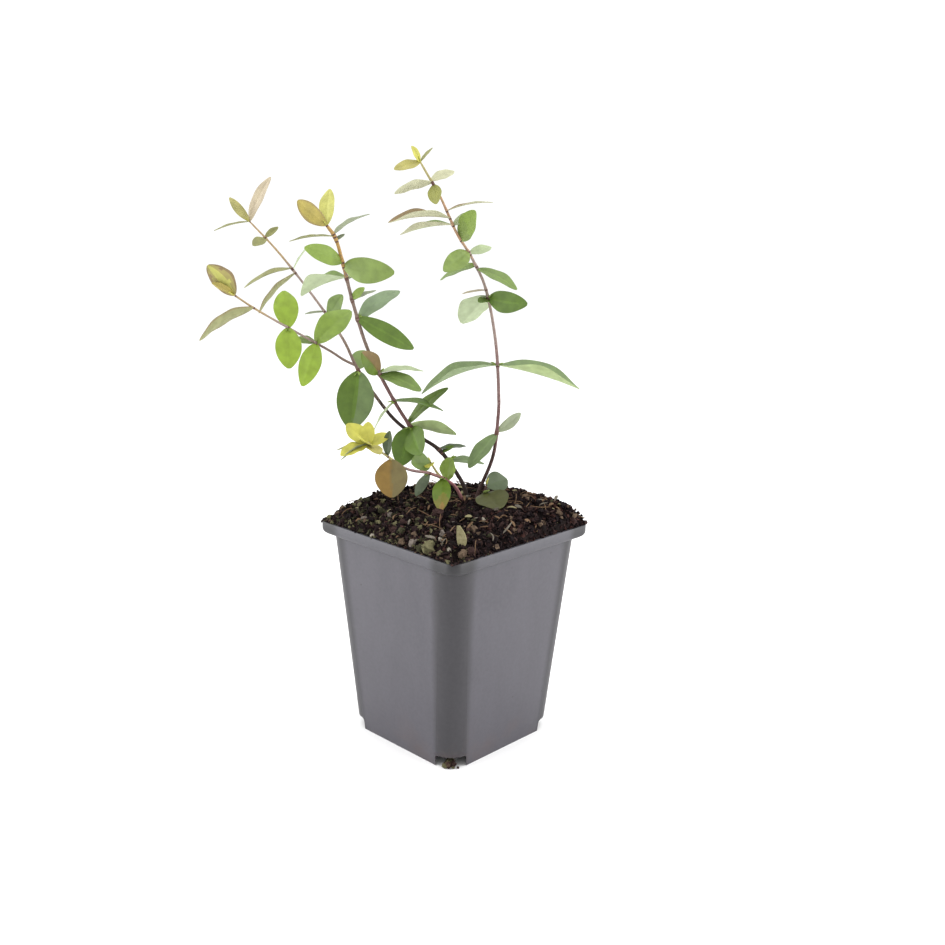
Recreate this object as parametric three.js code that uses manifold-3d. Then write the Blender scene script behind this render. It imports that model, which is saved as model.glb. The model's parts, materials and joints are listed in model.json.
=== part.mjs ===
// A young shrub with four arching leafy shoots, in a square plastic nursery pot heaped with compost.
// Millimetres, +Z up. The origin is the middle of the pot's flat underside, and the pot's sides lie
// along X and Y. The shoots are set out as they are seen from the pot's front corner: x to the right,
// y away from the viewer, z up. One group turned by an eighth of a turn brings them onto the pot.
import * as THREE from 'three';
import Module from 'manifold-3d';
import { mergeVertices } from 'three/addons/utils/BufferGeometryUtils.js';

const wasm = await Module();
wasm.setup();

const GAP = 0.3;
const EIGHTH_TURN = Math.PI / 4;

// The pot: a tapering square wall with rounded corners, an outward step under the lip and a flat floor.
const POT_HEIGHT = 103;
const LIP_SIDE = 90;
const LIP_HEIGHT = 5.5;
const LIP_CORNER = 5;
const WALL_TOP_SIDE = 84.4;
const WALL_FOOT_SIDE = 68.7;
const WALL_CORNER = 10;
const WALL = 1.3;
const FLOOR = 1.6;
const EASED = 0.4;
const DRAIN_WIDTH = 14;
const DRAIN_HEIGHT = 5.5;
const DRAIN_REACH = 9;
const CORNER_STEPS = 6;
const SIDE_STEPS = 9;

// The compost: it fills the pot, rises in a low heap over the rim, falls away at the back corner, and is
// level round the shoots' feet.
const HEAP_HEIGHT = 6.6;
const HEAP_SHOULDER = 9;
const HEAP_CORNER = 6;
const HEAP_EDGE = 1.4;
const HEAP_RIGHT_SLOPE = 0.024;
const HEAP_BACK_SLOPE = 0.058;
const HEAP_BACK_FALL = 6.5;
const HEAP_FALL_FROM = 20;
const HEAP_FALL_TO = 52;
const HEAP_RINGS = 12;
const LUMP = 1.4;
const LUMP_WAVES = [[0.61, 0.22, 1.3], [0.33, -0.57, 2.1], [-0.24, 0.83, 0.4]];
const CROWN = new THREE.Vector2(8, 11);
const CROWN_LEVEL = 110.5;
const CROWN_FLAT = 9;
const CROWN_FADE = 8;

// Shoots and leaves: the steps of their skins, and a blade's thickness and the stretch and power of the
// sine that gives its outline.
const TUBE_SIDES = 6;
const TUBE_STEP = 4.5;
const BLADE_STEPS = 5;
const BLADE_THICKNESS = 0.8;
const BLADE_ROOT = 0.03;
const BLADE_TIP = 0.965;
const BLADE_FULLNESS = 0.68;
const FOOT_LEVEL = CROWN_LEVEL + GAP;

const clamp = THREE.MathUtils.clamp;
const smooth = THREE.MathUtils.smoothstep;
const radians = THREE.MathUtils.degToRad;

// The kinds of leaf: breadth as a share of the length, the degrees that each millimetre bends, and how
// far the edges stand up as a share of half the breadth.
const LEAF_KINDS = {
  oval: { breadth: 0.43, bend: 1.2, fold: 0.16 },
  round: { breadth: 0.62, bend: 1.1, fold: 0.16 },
  broad: { breadth: 0.85, bend: 0.9, fold: 0.16 },
  narrow: { breadth: 0.3, bend: 1.2, fold: 0.16 },
  long: { breadth: 0.42, bend: 0.4, fold: 0.6 },
  arched: { breadth: 0.4, bend: 0.95, fold: 0.5 },
  folded: { breadth: 0.62, bend: 1, fold: 0.65 },
};

// Each shoot is a smooth route from its foot to its tip, with its radius at both ends. It is cut into
// parts, each with the distance along the route where it ends. A part without leaves is a bare limb, and
// one with leaves is a mass of foliage whose own stem carries the shoot on. A leaf is given by the
// distance where it stands, its bearing (0 right, 90 away), its rise in degrees, its length, the turn
// of its blade about its rib, and its kind.
const SHOOTS = {
  right: {
    route: [[10, 11, FOOT_LEVEL], [12, 13, 116], [18, 17, 131], [20, 20, 149], [20, 20, 161],
      [18, 19, 185], [13, 16, 209], [6, 12, 224], [-1, 9, 235], [-8, 5, 250], [-14, 2, 260], [-17, 0, 265]],
    radius: [0.92, 0.5],
    parts: [
      { name: 'right_stem', to: 28 },
      {
        name: 'right_low_leaves', to: 42, leaves: [
          [33, 214, -43, 21.5, 14, 'oval'], [34, 45, 22, 18, -70, 'narrow']],
      },
      { name: 'right_bough', to: 61 },
      {
        name: 'right_paired_leaves', to: 72, leaves: [
          [66, 186, -21, 38, 0, 'arched'], [66, 357, -15, 40, 0, 'long']],
      },
      { name: 'right_upper_bough', to: 93 },
      {
        name: 'right_mid_leaves', to: 118, leaves: [
          [97.5, 235, -5, 8, 20, 'round'], [98, 318, -2, 23, -83, 'oval'],
          [99, 155, -46, 18.5, -30, 'broad'], [102, 178, -10, 11, 7, 'narrow'],
          [113, 338, -24, 21, -18, 'oval'], [114.5, 145, -21, 21, 30, 'oval']],
      },
      {
        name: 'right_top_leaves', leaves: [
          [122, 236, -22, 20.5, 41, 'oval'], [121, 32, 12, 12, -40, 'oval'],
          [128, 305, 52, 17, -100, 'round'], [136, 30, 24, 13, -30, 'oval'],
          [143, 20, 10, 22, 3, 'narrow'], [136.3, 168, -12, 24.5, 0, 'arched'],
          [139.5, 205, -4, 29, 0, 'arched'], [156, 282, -50, 10.5, -32, 'round'],
          [158, 40, 18, 13.5, -30, 'oval'], [157, 195, -16, 17.5, -35, 'oval'],
          [168, 210, -15, 13, 40, 'oval'], [168, 230, 49, 8.5, 87, 'oval'],
          [168, 35, 44, 8.7, -4, 'narrow']],
      },
    ],
  },
  left: {
    route: [[6, 14, FOOT_LEVEL], [3, 14.5, 119], [-7, 15.5, 133], [-18, 17, 140], [-25.5, 17.5, 144.5],
      [-33.5, 19, 152.5], [-46, 22, 169.7], [-54, 25, 185], [-68, 29, 204], [-84, 34, 223], [-98, 38, 237]],
    radius: [1.05, 0.42],
    parts: [
      { name: 'left_stem', to: 17 },
      {
        name: 'left_inner_leaves', to: 31, leaves: [
          [20, 25, -9, 19, -12, 'oval'], [25.5, 345, 30, 7, -45, 'oval'], [27.5, 14, 4, 13.5, -9, 'oval']],
      },
      { name: 'left_upper_stem', to: 77 },
      {
        name: 'left_mid_leaves', to: 85, leaves: [
          [81, 255, -67, 28, 20, 'round'], [82, 80, 27, 15, -13, 'round']],
      },
      { name: 'left_bough', to: 105 },
      {
        name: 'left_upper_leaves', to: 118, leaves: [
          [110, 325, 50, 14, -85, 'round'], [113, 175, -8, 9.5, 15, 'narrow']],
      },
      { name: 'left_bough_tip', to: 134 },
      {
        name: 'left_top_leaves', leaves: [
          [137.5, 25, 55, 12.5, 20, 'narrow'], [138.5, 183, -23, 24, 8, 'oval'],
          [135.5, 200, -46, 25.5, -30, 'narrow'], [157, 235, -20, 9, 30, 'round'],
          [157.5, 21, 37, 8, -46, 'oval'], [168, 188, -15, 17, 3, 'narrow'],
          [168.5, 351, 62, 23, -60, 'narrow'], [168.5, 215, 48, 14.5, -70, 'narrow']],
      },
    ],
  },
  middle: {
    parent: 'left',
    route: [[-18, 17, 140], [-22, 15, 146], [-29, 12, 158], [-40, 7, 181], [-46, 3, 201], [-49, 0, 214],
      [-53, -4, 231], [-57, -7, 238]],
    radius: [0.8, 0.72],
    parts: [
      {
        name: 'middle_low_leaves', to: 45, leaves: [
          [5.5, 288, -28, 19.5, -48, 'round'], [6, 250, -52, 20.5, 20, 'round'],
          [7, 357, -10, 22.5, 45, 'oval'], [8, 13, 41, 25, -25, 'narrow'],
          [21, 230, -40, 18, -50, 'narrow'], [21.5, 4, -12, 23.5, -4, 'oval'],
          [36, 345, -18, 21, -29, 'oval'], [37, 15, 0, 21, -5, 'oval'], [36.5, 230, 44, 15.5, 95, 'round']],
      },
      { name: 'middle_bough', to: 58 },
      {
        name: 'middle_upper_leaves', to: 80, leaves: [
          [63.5, 35, 29, 25, -18, 'oval'], [64, 10, -35, 12, 45, 'oval'], [65, 3, -29, 29, -85, 'narrow'],
          [73, 25, 20, 12, -5, 'oval'], [74, 325, 35, 9, -90, 'oval']],
      },
      {
        name: 'middle_top_leaves', leaves: [
          [83, 30, 30, 8.5, -10, 'round'], [84, 160, -23, 24, 0, 'folded'], [89, 332, -3, 26, -88, 'oval'],
          [91, 217, 19, 20, 69, 'oval'], [101, 55, 25, 6, -10, 'oval'], [103, 186, -7, 19.5, -3, 'oval'],
          [104, 35, 25, 20, 5, 'oval'], [109, 222, 35, 18, -85, 'oval'], [109, 83, 66, 16.5, 8, 'oval']],
      },
    ],
  },
  side: {
    parent: 'left',
    route: [[-48.3, 22.5, 172.6], [-52.5, 18, 175.5], [-57, 14, 179.3], [-62, 10, 183], [-75, 1, 192],
      [-88, -7, 201], [-97, -12, 208]],
    radius: [0.6, 0.4],
    parts: [
      { name: 'side_bough', to: 20 },
      {
        name: 'side_mid_leaves', to: 45, leaves: [
          [24, 251, -48, 23, 35, 'oval'], [24.5, 32, 38, 22.5, -31, 'round'],
          [25, 170, 10, 9, 30, 'round'], [40, 110, 60, 18, 10, 'round'], [40.5, 280, -65, 19, -5, 'round']],
      },
      { name: 'side_bough_tip', to: 55 },
      {
        name: 'side_top_leaves', leaves: [
          [59, 222, -24, 29.5, -50, 'narrow'], [69, 198, 50, 17, -60, 'round'],
          [69, 195, 30, 11, -40, 'oval']],
      },
    ],
  },
  low: {
    route: [[4, 9, FOOT_LEVEL], [-1, 6, 119.5], [-11, 0, 126], [-22, -7, 130], [-32, -12, 138],
      [-40, -16, 144]],
    radius: [0.8, 0.45],
    parts: [
      { name: 'low_stem', to: 13 },
      {
        name: 'low_inner_leaves', to: 28, leaves: [
          [14.5, 41, 80, 11, -10, 'broad'], [17, 268, -33, 20, -5, 'oval'],
          [25, 187, -60, 12.5, -75, 'oval']],
      },
      { name: 'low_bough', to: 34 },
      {
        name: 'low_top_leaves', leaves: [
          [47, 276, -66, 17.5, -8, 'broad'], [49.5, 320, 82, 12, -95, 'oval'],
          [59.5, 40, 20, 11.5, -20, 'round'], [61, 165, -15, 15, 10, 'narrow'],
          [61, 220, -20, 15, -45, 'narrow'], [61, 150, 35, 13.5, 35, 'round'],
          [61, 215, -15, 14, 15, 'round'], [60, 300, -10, 11, 0, 'round'],
          [60.5, 95, 60, 10.5, 10, 'round'], [60.5, 255, 25, 10, 30, 'broad']],
      },
    ],
  },
  twig: {
    parent: 'low',
    route: [[-6, 3, 123], [-8.8, 4.5, 126], [-11.5, 6, 130]],
    radius: [0.65, 0.45],
    parts: [
      {
        name: 'inner_twig_leaves', leaves: [
          [9, 215, 8, 11, 55, 'broad'], [9, 265, 0, 8.5, -20, 'round']],
      },
    ],
  },
  foot: {
    route: [[14.5, 8.5, FOOT_LEVEL], [14, 8.5, 115], [15, 9, 119]],
    radius: [0.6, 0.45],
    parts: [
      {
        name: 'foot_leaves', leaves: [
          [4, 293, -8, 18.5, -14, 'broad'], [7.5, 36, 6, 12.7, -45, 'broad']],
      },
    ],
  },
};

// A closed skin over a stack of rings with the same number of points each, and a fan over each end.
function loft(rings) {
  const count = rings[0].length;
  const middle = ring => ring.reduce((sum, point) => sum.add(point), new THREE.Vector3()).divideScalar(count);
  const points = [...rings.flat(), middle(rings[0]), middle(rings.at(-1))];
  const first = rings.length * count;
  const last = first + 1;
  const index = [];
  for (let k = 0; k < count; k++) {
    const next = (k + 1) % count;
    index.push(first, next, k);
    index.push(last, first - count + k, first - count + next);
    for (let r = 0; r < rings.length - 1; r++) {
      const low = r * count;
      const high = low + count;
      index.push(low + k, low + next, high + next);
      index.push(low + k, high + next, high + k);
    }
  }
  const geometry = new THREE.BufferGeometry().setFromPoints(points);
  geometry.setIndex(index);
  return geometry;
}

function solidOf(source) {
  const geometry = source.clone();
  geometry.deleteAttribute('normal');
  geometry.deleteAttribute('uv');
  const merged = mergeVertices(geometry);
  const vertProperties = merged.attributes.position.array;
  const triVerts = Uint32Array.from(merged.index.array);
  return new wasm.Manifold(new wasm.Mesh({ numProp: 3, vertProperties, triVerts }));
}

function geometryOf(solid) {
  const mesh = solid.getMesh();
  const geometry = new THREE.BufferGeometry();
  geometry.setAttribute('position', new THREE.BufferAttribute(mesh.vertProperties, 3));
  geometry.setIndex(new THREE.BufferAttribute(mesh.triVerts, 1));
  geometry.computeVertexNormals();
  return geometry;
}

function namedMesh(name, geometry, material) {
  const mesh = new THREE.Mesh(geometry, material);
  mesh.name = name;
  return mesh;
}

// One level ring of a square with rounded corners, and as many points as asked for along each side.
function squareRing(side, corner, z, sideSteps = 1) {
  const ring = [];
  const reach = side / 2 - corner;
  for (let quarter = 0; quarter < 4; quarter++) {
    const middle = EIGHTH_TURN * (2 * quarter + 1);
    const x = Math.sign(Math.cos(middle)) * reach;
    const y = Math.sign(Math.sin(middle)) * reach;
    for (let step = 0; step <= CORNER_STEPS; step++) {
      const angle = middle + EIGHTH_TURN * (2 * step / CORNER_STEPS - 1);
      ring.push(new THREE.Vector3(x + corner * Math.cos(angle), y + corner * Math.sin(angle), z));
    }
    const end = ring.at(-1);
    const heading = EIGHTH_TURN * 2 * (quarter + 2);
    const along = new THREE.Vector3(Math.cos(heading), Math.sin(heading), 0);
    for (let step = 1; step < sideSteps; step++) {
      ring.push(end.clone().addScaledVector(along, 2 * reach * step / sideSteps));
    }
  }
  return ring;
}

const LIP_FOOT = POT_HEIGHT - LIP_HEIGHT;
const wallSide = z => THREE.MathUtils.mapLinear(z, 0, LIP_FOOT, WALL_FOOT_SIDE, WALL_TOP_SIDE);

function potGeometry() {
  const innerSide = z => wallSide(z) - 2 * WALL;
  const innerCorner = WALL_CORNER - WALL;
  const stepTop = LIP_FOOT + WALL;
  const shell = solidOf(loft([
    squareRing(WALL_FOOT_SIDE - 2 * EASED, WALL_CORNER, 0),
    squareRing(wallSide(EASED), WALL_CORNER, EASED),
    squareRing(WALL_TOP_SIDE, WALL_CORNER, LIP_FOOT),
    squareRing(LIP_SIDE - 2 * EASED, LIP_CORNER, LIP_FOOT),
    squareRing(LIP_SIDE, LIP_CORNER, LIP_FOOT + EASED),
    squareRing(LIP_SIDE, LIP_CORNER, POT_HEIGHT - EASED),
    squareRing(LIP_SIDE - 2 * EASED, LIP_CORNER, POT_HEIGHT),
    squareRing(LIP_SIDE - 2 * WALL, LIP_CORNER - WALL, POT_HEIGHT),
    squareRing(LIP_SIDE - 2 * WALL, LIP_CORNER - WALL, stepTop),
    squareRing(innerSide(stepTop), innerCorner, stepTop),
    squareRing(innerSide(FLOOR), innerCorner, FLOOR),
  ]));
  return geometryOf(drains().reduce((pot, drain) => pot.subtract(drain), shell));
}

// A slot through the foot of the wall and the floor at each corner of the pot.
function drains() {
  const cornerReach = (WALL_FOOT_SIDE / 2 - WALL_CORNER) * Math.SQRT2 + WALL_CORNER;
  return [0, 1, 2, 3].map(quarter => {
    const box = new THREE.BoxGeometry(2 * DRAIN_REACH, DRAIN_WIDTH, 2 * DRAIN_HEIGHT);
    box.translate(cornerReach, 0, 0);
    box.rotateZ(EIGHTH_TURN * (2 * quarter + 1));
    return solidOf(box);
  });
}

// A smooth value between -1 and 1 that stands for the crumbs and hollows of the compost.
function lumps(x, y) {
  const sum = LUMP_WAVES.reduce((total, [alongX, alongY, phase]) =>
    total + Math.sin(x * alongX + y * alongY + phase), 0);
  return sum / LUMP_WAVES.length;
}

// The compost's height, worked out in the shoots' own frame (x right, y away).
function heapLevel(point) {
  const reach = (Math.abs(point.x) ** HEAP_CORNER + Math.abs(point.y) ** HEAP_CORNER) ** (1 / HEAP_CORNER);
  const across = Math.min(1, reach / (LIP_SIDE / 2));
  const seen = new THREE.Vector2(point.x, point.y).rotateAround(new THREE.Vector2(), -EIGHTH_TURN);
  const slope = HEAP_RIGHT_SLOPE * seen.x + HEAP_BACK_SLOPE * seen.y;
  const edge = POT_HEIGHT + HEAP_EDGE + slope
    - HEAP_BACK_FALL * smooth(seen.y, HEAP_FALL_FROM, HEAP_FALL_TO);
  const heap = edge + HEAP_HEIGHT * (1 - across ** HEAP_SHOULDER) + LUMP * lumps(point.x, point.y);
  const fromCrown = seen.distanceTo(CROWN);
  return THREE.MathUtils.lerp(CROWN_LEVEL, heap, smooth(fromCrown, CROWN_FLAT, CROWN_FLAT + CROWN_FADE));
}

function compostGeometry() {
  const filling = z => wallSide(z) - 2 * (WALL + GAP);
  const corner = WALL_CORNER - WALL - GAP;
  const brimSide = LIP_SIDE - 2 * (WALL + GAP);
  const brimCorner = LIP_CORNER - WALL - GAP;
  const shoulder = LIP_FOOT + WALL + GAP;
  const ring = (side, corner, z) => squareRing(side, corner, z, SIDE_STEPS);
  const brim = ring(brimSide, brimCorner, 0);
  const heap = [];
  for (let k = 0; k < HEAP_RINGS; k++) {
    const share = 1 - k / HEAP_RINGS;
    heap.push(brim.map(point => {
      const inner = point.clone().multiplyScalar(share);
      inner.z = heapLevel(inner);
      return inner;
    }));
  }
  return loft([
    ring(filling(FLOOR + GAP), corner, FLOOR + GAP),
    ring(filling(shoulder), corner, shoulder),
    ring(brimSide, brimCorner, shoulder),
    ...heap,
  ]);
}

const toVector = ([x, y, z]) => new THREE.Vector3(x, y, z);

// The curve of a shoot, with a distance in millimetres in place of three's share of the length.
function shootCurve({ route, radius, parent }) {
  const curve = new THREE.CatmullRomCurve3(route.map(toVector), false, 'catmullrom', 0.5);
  const length = curve.getLength();
  const share = at => clamp(at / length, 0, 1);
  return {
    length,
    rooted: !parent,
    pointAt: at => curve.getPointAt(share(at)),
    directionAt: at => curve.getTangentAt(share(at)),
    radiusAt: at => THREE.MathUtils.lerp(radius[0], radius[1], share(at)),
  };
}

// A tapering tube along a stretch of a shoot, cut flat and level where it stands on the compost.
function tube(shoot, from, to, swell = 0) {
  const count = Math.max(2, Math.round((to - from) / TUBE_STEP) + 1);
  const rings = [];
  for (let r = 0; r < count; r++) {
    const at = THREE.MathUtils.lerp(from, to, r / (count - 1));
    const centre = shoot.pointAt(at);
    const along = shoot.directionAt(at);
    const out = new THREE.Vector3(0, 1, 0).cross(along).normalize();
    const up = along.clone().cross(out);
    const level = r === 0 && from === 0 && shoot.rooted;
    const ring = [];
    for (let k = 0; k < TUBE_SIDES; k++) {
      const angle = 2 * Math.PI * k / TUBE_SIDES;
      const radius = shoot.radiusAt(at) + swell;
      const point = centre.clone()
        .addScaledVector(out, radius * Math.cos(angle))
        .addScaledVector(up, radius * Math.sin(angle));
      if (level) point.addScaledVector(along, (centre.z - point.z) / along.z);
      ring.push(point);
    }
    rings.push(ring);
  }
  return solidOf(loft(rings));
}

// A leaf's blade: its rib is an arc that bends back from its rise, and its edges stand a little higher.
function blade(base, [, bearing, rise, length, turn, kindName]) {
  const kind = LEAF_KINDS[kindName];
  const away = radians(bearing);
  const along = new THREE.Vector3(Math.cos(away), Math.sin(away), Math.tan(radians(rise))).normalize();
  const level = along.clone().cross(new THREE.Vector3(0, 0, 1)).normalize();
  const top = level.clone().cross(along);
  const side = level.clone().applyAxisAngle(along, -radians(turn));
  const face = top.applyAxisAngle(along, -radians(turn));
  const bend = radians(kind.bend * length);
  const arc = length / (2 * Math.sin(bend / 2));
  const rings = [];
  for (let step = 0; step <= BLADE_STEPS; step++) {
    const share = step / BLADE_STEPS;
    const lean = bend * (0.5 - share);
    const rib = base.clone()
      .addScaledVector(along, arc * (Math.sin(bend / 2) - Math.sin(lean)))
      .addScaledVector(face, arc * (Math.cos(lean) - Math.cos(bend / 2)));
    const normal = face.clone().multiplyScalar(Math.cos(lean)).addScaledVector(along, -Math.sin(lean));
    const outline = Math.sin(Math.PI * THREE.MathUtils.lerp(BLADE_ROOT, BLADE_TIP, share)) ** BLADE_FULLNESS;
    const half = length * kind.breadth / 2 * outline;
    const cup = kind.fold * half * outline;
    rings.push([
      rib.clone().addScaledVector(side, half).addScaledVector(normal, cup),
      rib.clone().addScaledVector(normal, -BLADE_THICKNESS / 2),
      rib.clone().addScaledVector(side, -half).addScaledVector(normal, cup),
      rib.clone().addScaledVector(normal, BLADE_THICKNESS / 2),
    ]);
  }
  return solidOf(loft(rings));
}

// A side shoot is cut to a saddle that lies round its parent.
function saddled(solid, shootName, from) {
  const { parent } = SHOOTS[shootName];
  if (!parent || from > 0) return solid;
  const limb = curves[parent];
  return solid.subtract(tube(limb, TUBE_STEP, limb.length, GAP));
}

const clearOf = (solid, others) => others.every(other => solid.minGap(other, GAP) >= GAP);

const curves = Object.fromEntries(Object.entries(SHOOTS).map(([name, shoot]) => [name, shootCurve(shoot)]));

// Every part of every shoot, from the foot up, as the stretch of the route that it takes.
function stretches() {
  return Object.entries(SHOOTS).flatMap(([shootName, shoot]) => {
    let start = 0;
    return shoot.parts.map(part => {
      const from = start;
      const to = part.to ?? curves[shootName].length;
      start = to + GAP;
      return { ...part, shootName, from, to };
    });
  });
}

// The limbs and the masses' own stems come first. A leaf that would touch the compost or another part
// is left out.
function plantSolids(compost) {
  const ground = solidOf(compost.clone().rotateZ(-EIGHTH_TURN));
  const parts = stretches();
  for (const part of parts) {
    part.solid = saddled(tube(curves[part.shootName], part.from, part.to), part.shootName, part.from);
  }
  for (const part of parts) {
    const others = parts.filter(other => other !== part).map(other => other.solid);
    for (const leaf of part.leaves ?? []) {
      const added = blade(curves[part.shootName].pointAt(leaf[0]), leaf);
      if (clearOf(added, [ground, ...others])) part.solid = part.solid.add(added);
    }
  }
  return parts;
}

const greyPlastic = new THREE.MeshStandardMaterial({ color: 0x7b7a80, roughness: 0.5, metalness: 0 });
const peat = new THREE.MeshStandardMaterial({ color: 0x2c211d, roughness: 1, metalness: 0 });
const bark = new THREE.MeshStandardMaterial({ color: 0x8a4f43, roughness: 0.7, metalness: 0 });
const foliage = new THREE.MeshStandardMaterial({ color: 0x6d9a3f, roughness: 0.6, metalness: 0 });

const potted = new THREE.Group();
potted.add(namedMesh('pot', potGeometry(), greyPlastic));
const compost = compostGeometry();
potted.add(namedMesh('compost', compost, peat));

const plant = new THREE.Group();
plant.rotation.z = EIGHTH_TURN;
for (const { name, solid, leaves } of plantSolids(compost)) {
  plant.add(namedMesh(name, geometryOf(solid), leaves ? foliage : bark));
}
potted.add(plant);

export default potted;
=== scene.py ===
# %% [markdown]
# A potted shrub, dressed for its portrait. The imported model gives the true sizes: a square nursery pot,
# its filling of compost, and a young St John's wort with four arching shoots. Here each of them gets the
# surface that the eye expects. Everything is in metres once it is a mesh, and the values in the cells
# are millimetres, as a gardener or a toolmaker would say them.

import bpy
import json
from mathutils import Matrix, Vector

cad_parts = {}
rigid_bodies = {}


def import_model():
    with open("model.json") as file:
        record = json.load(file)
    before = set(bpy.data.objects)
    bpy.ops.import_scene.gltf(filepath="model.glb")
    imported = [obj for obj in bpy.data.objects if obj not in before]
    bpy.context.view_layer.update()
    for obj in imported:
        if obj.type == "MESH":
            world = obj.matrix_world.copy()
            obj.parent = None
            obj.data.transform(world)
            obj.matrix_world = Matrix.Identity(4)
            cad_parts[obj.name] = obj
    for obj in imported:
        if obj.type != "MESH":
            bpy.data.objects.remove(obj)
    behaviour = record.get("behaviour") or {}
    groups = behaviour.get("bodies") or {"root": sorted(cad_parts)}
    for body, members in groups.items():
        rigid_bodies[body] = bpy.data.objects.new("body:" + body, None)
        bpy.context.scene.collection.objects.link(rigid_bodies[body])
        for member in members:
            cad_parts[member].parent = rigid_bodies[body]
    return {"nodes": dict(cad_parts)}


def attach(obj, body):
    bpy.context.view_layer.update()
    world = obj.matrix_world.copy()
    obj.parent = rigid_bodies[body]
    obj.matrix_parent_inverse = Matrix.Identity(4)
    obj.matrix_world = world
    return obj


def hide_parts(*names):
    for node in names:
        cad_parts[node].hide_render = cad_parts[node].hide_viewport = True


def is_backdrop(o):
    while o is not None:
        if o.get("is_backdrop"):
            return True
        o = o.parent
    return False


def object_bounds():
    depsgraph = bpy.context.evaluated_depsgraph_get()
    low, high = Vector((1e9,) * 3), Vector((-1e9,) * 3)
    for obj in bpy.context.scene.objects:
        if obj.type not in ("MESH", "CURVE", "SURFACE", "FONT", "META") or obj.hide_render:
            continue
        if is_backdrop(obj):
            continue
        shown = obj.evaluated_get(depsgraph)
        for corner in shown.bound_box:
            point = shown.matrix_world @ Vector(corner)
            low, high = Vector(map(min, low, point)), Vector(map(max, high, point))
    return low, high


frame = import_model()
cad_low, cad_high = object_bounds()
print("packed nodes:", len(frame["nodes"]))

# %% Modules and units
import json
import math

import bmesh
import bpy
import numpy as np
from mathutils import Matrix, Vector

MM = 0.001
EIGHTH_TURN = math.pi / 4
print("a millimetre is", MM, "of a unit of the scene")

# %% [markdown]
# The camera comes first, because every choice after it is judged through it. It stands level with the
# heads of the shoots, opposite a corner of the pot, so both faces of the pot show alike. It leans by one
# degree, as the photographer's did.

# %% The camera
CAMERA_PLACE = Vector((362.5, -362.5, 260.3)) * MM
CAMERA_TARGET = Vector((5.7, 5.7, 126.9)) * MM
CAMERA_LEAN = math.radians(1.07)
CAMERA_LENS = 43.68
SENSOR = 36.0

camera_data = bpy.data.cameras.new("camera")
camera_data.lens = CAMERA_LENS
camera_data.sensor_width = SENSOR
camera = bpy.data.objects.new("camera", camera_data)
bpy.context.scene.collection.objects.link(camera)
camera.location = CAMERA_PLACE
aim = (CAMERA_TARGET - CAMERA_PLACE).to_track_quat("-Z", "Y").to_matrix().to_4x4()
camera.rotation_euler = (aim @ Matrix.Rotation(CAMERA_LEAN, 4, "Z")).to_euler()
bpy.context.scene.camera = camera
print("camera stands", round((CAMERA_PLACE - CAMERA_TARGET).length / MM), "mm from its target")

# %% [markdown]
# Colours are easiest to name as a painter mixes them, in the sRGB hex code of a screen. The renderer
# adds up light, so it wants linear values. One function turns the first into the second. A second small
# function adds a node to a material with its own settings, its socket values, its links and, on a ramp,
# its tones, all in one call. A noise seldom leaves the middle of its range, so a mottled finish spreads
# its two tones over that stretch.

# %% Helpers for colour and nodes
MOTTLE = (0.3, 0.7)


def linear(code):
    """An sRGB hex colour as the linear red, green, blue and alpha that Blender's sockets take."""
    channels = [int(code[k:k + 2], 16) / 255 for k in (1, 3, 5)]
    return (*[c / 12.92 if c <= 0.04045 else ((c + 0.055) / 1.055) ** 2.4 for c in channels], 1)


def add_node(tree, kind, values=None, links=None, stops=(), **settings):
    """Adds a node with its own settings, the values and links of its sockets, and a ramp's stops."""
    node = tree.nodes.new(kind)
    for name, value in settings.items():
        setattr(node, name, value)
    for name, value in (values or {}).items():
        node.inputs[name].default_value = value
    for name, output in (links or {}).items():
        tree.links.new(output, node.inputs[name])
    for number, (position, code) in enumerate(stops):
        stop = node.color_ramp.elements[number]
        stop.position = position
        stop.color = linear(code)
    return node


def new_material(name):
    """A material with an empty node tree, and its tree."""
    material = bpy.data.materials.new(name)
    material.use_nodes = True
    material.node_tree.nodes.clear()
    return material, material.node_tree


print("mid grey in linear light:", [round(c, 3) for c in linear("#808080")])

# %% [markdown]
# A catalogue picture of a young plant is shot on a white table with white all round. Light comes from
# everywhere, and a soft box at each side models the form. Nothing stands beside the camera, so the
# rounded corner of the pot that faces the lens stays darker than the two faces. A bright world, two
# large area lamps and a white floor give the same.

# %% Floor and lights
FLOOR_SIDE = 6000
SIDE_LAMP_REACH = 900
SIDE_LAMP_HEIGHT = 420
SIDE_LAMP_SIZE = 900
SIDE_LAMP_POWER = 9.0
TOP_LAMP_HEIGHT = 1100
TOP_LAMP_SIZE = 800
TOP_LAMP_POWER = 5.0
WORLD_STRENGTH = 1.1

bpy.ops.object.select_all(action="DESELECT")
bpy.ops.mesh.primitive_plane_add(size=FLOOR_SIDE * MM)
floor = bpy.context.object
floor.name = "studio_floor"
material, tree = new_material("painted white table")
fog = add_node(tree, "ShaderNodeTexNoise", {"Scale": 3.0, "Detail": 2.0})
white = add_node(tree, "ShaderNodeValToRGB", None, {"Fac": fog.outputs["Fac"]},
                 zip(MOTTLE, ("#f6f6f6", "#fbfbfb")))
paint = add_node(tree, "ShaderNodeBsdfPrincipled", {"Roughness": 0.9, "Specular IOR Level": 0.1},
                 {"Base Color": white.outputs["Color"]})
add_node(tree, "ShaderNodeOutputMaterial", None, {"Surface": paint.outputs["BSDF"]})
floor.data.materials.append(material)
floor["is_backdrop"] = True

world = bpy.data.worlds.new("white studio")
bpy.context.scene.world = world
world.use_nodes = True
world.node_tree.nodes["Background"].inputs["Color"].default_value = linear("#ffffff")
world.node_tree.nodes["Background"].inputs["Strength"].default_value = WORLD_STRENGTH
bpy.context.scene.view_settings.view_transform = "Standard"


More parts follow.
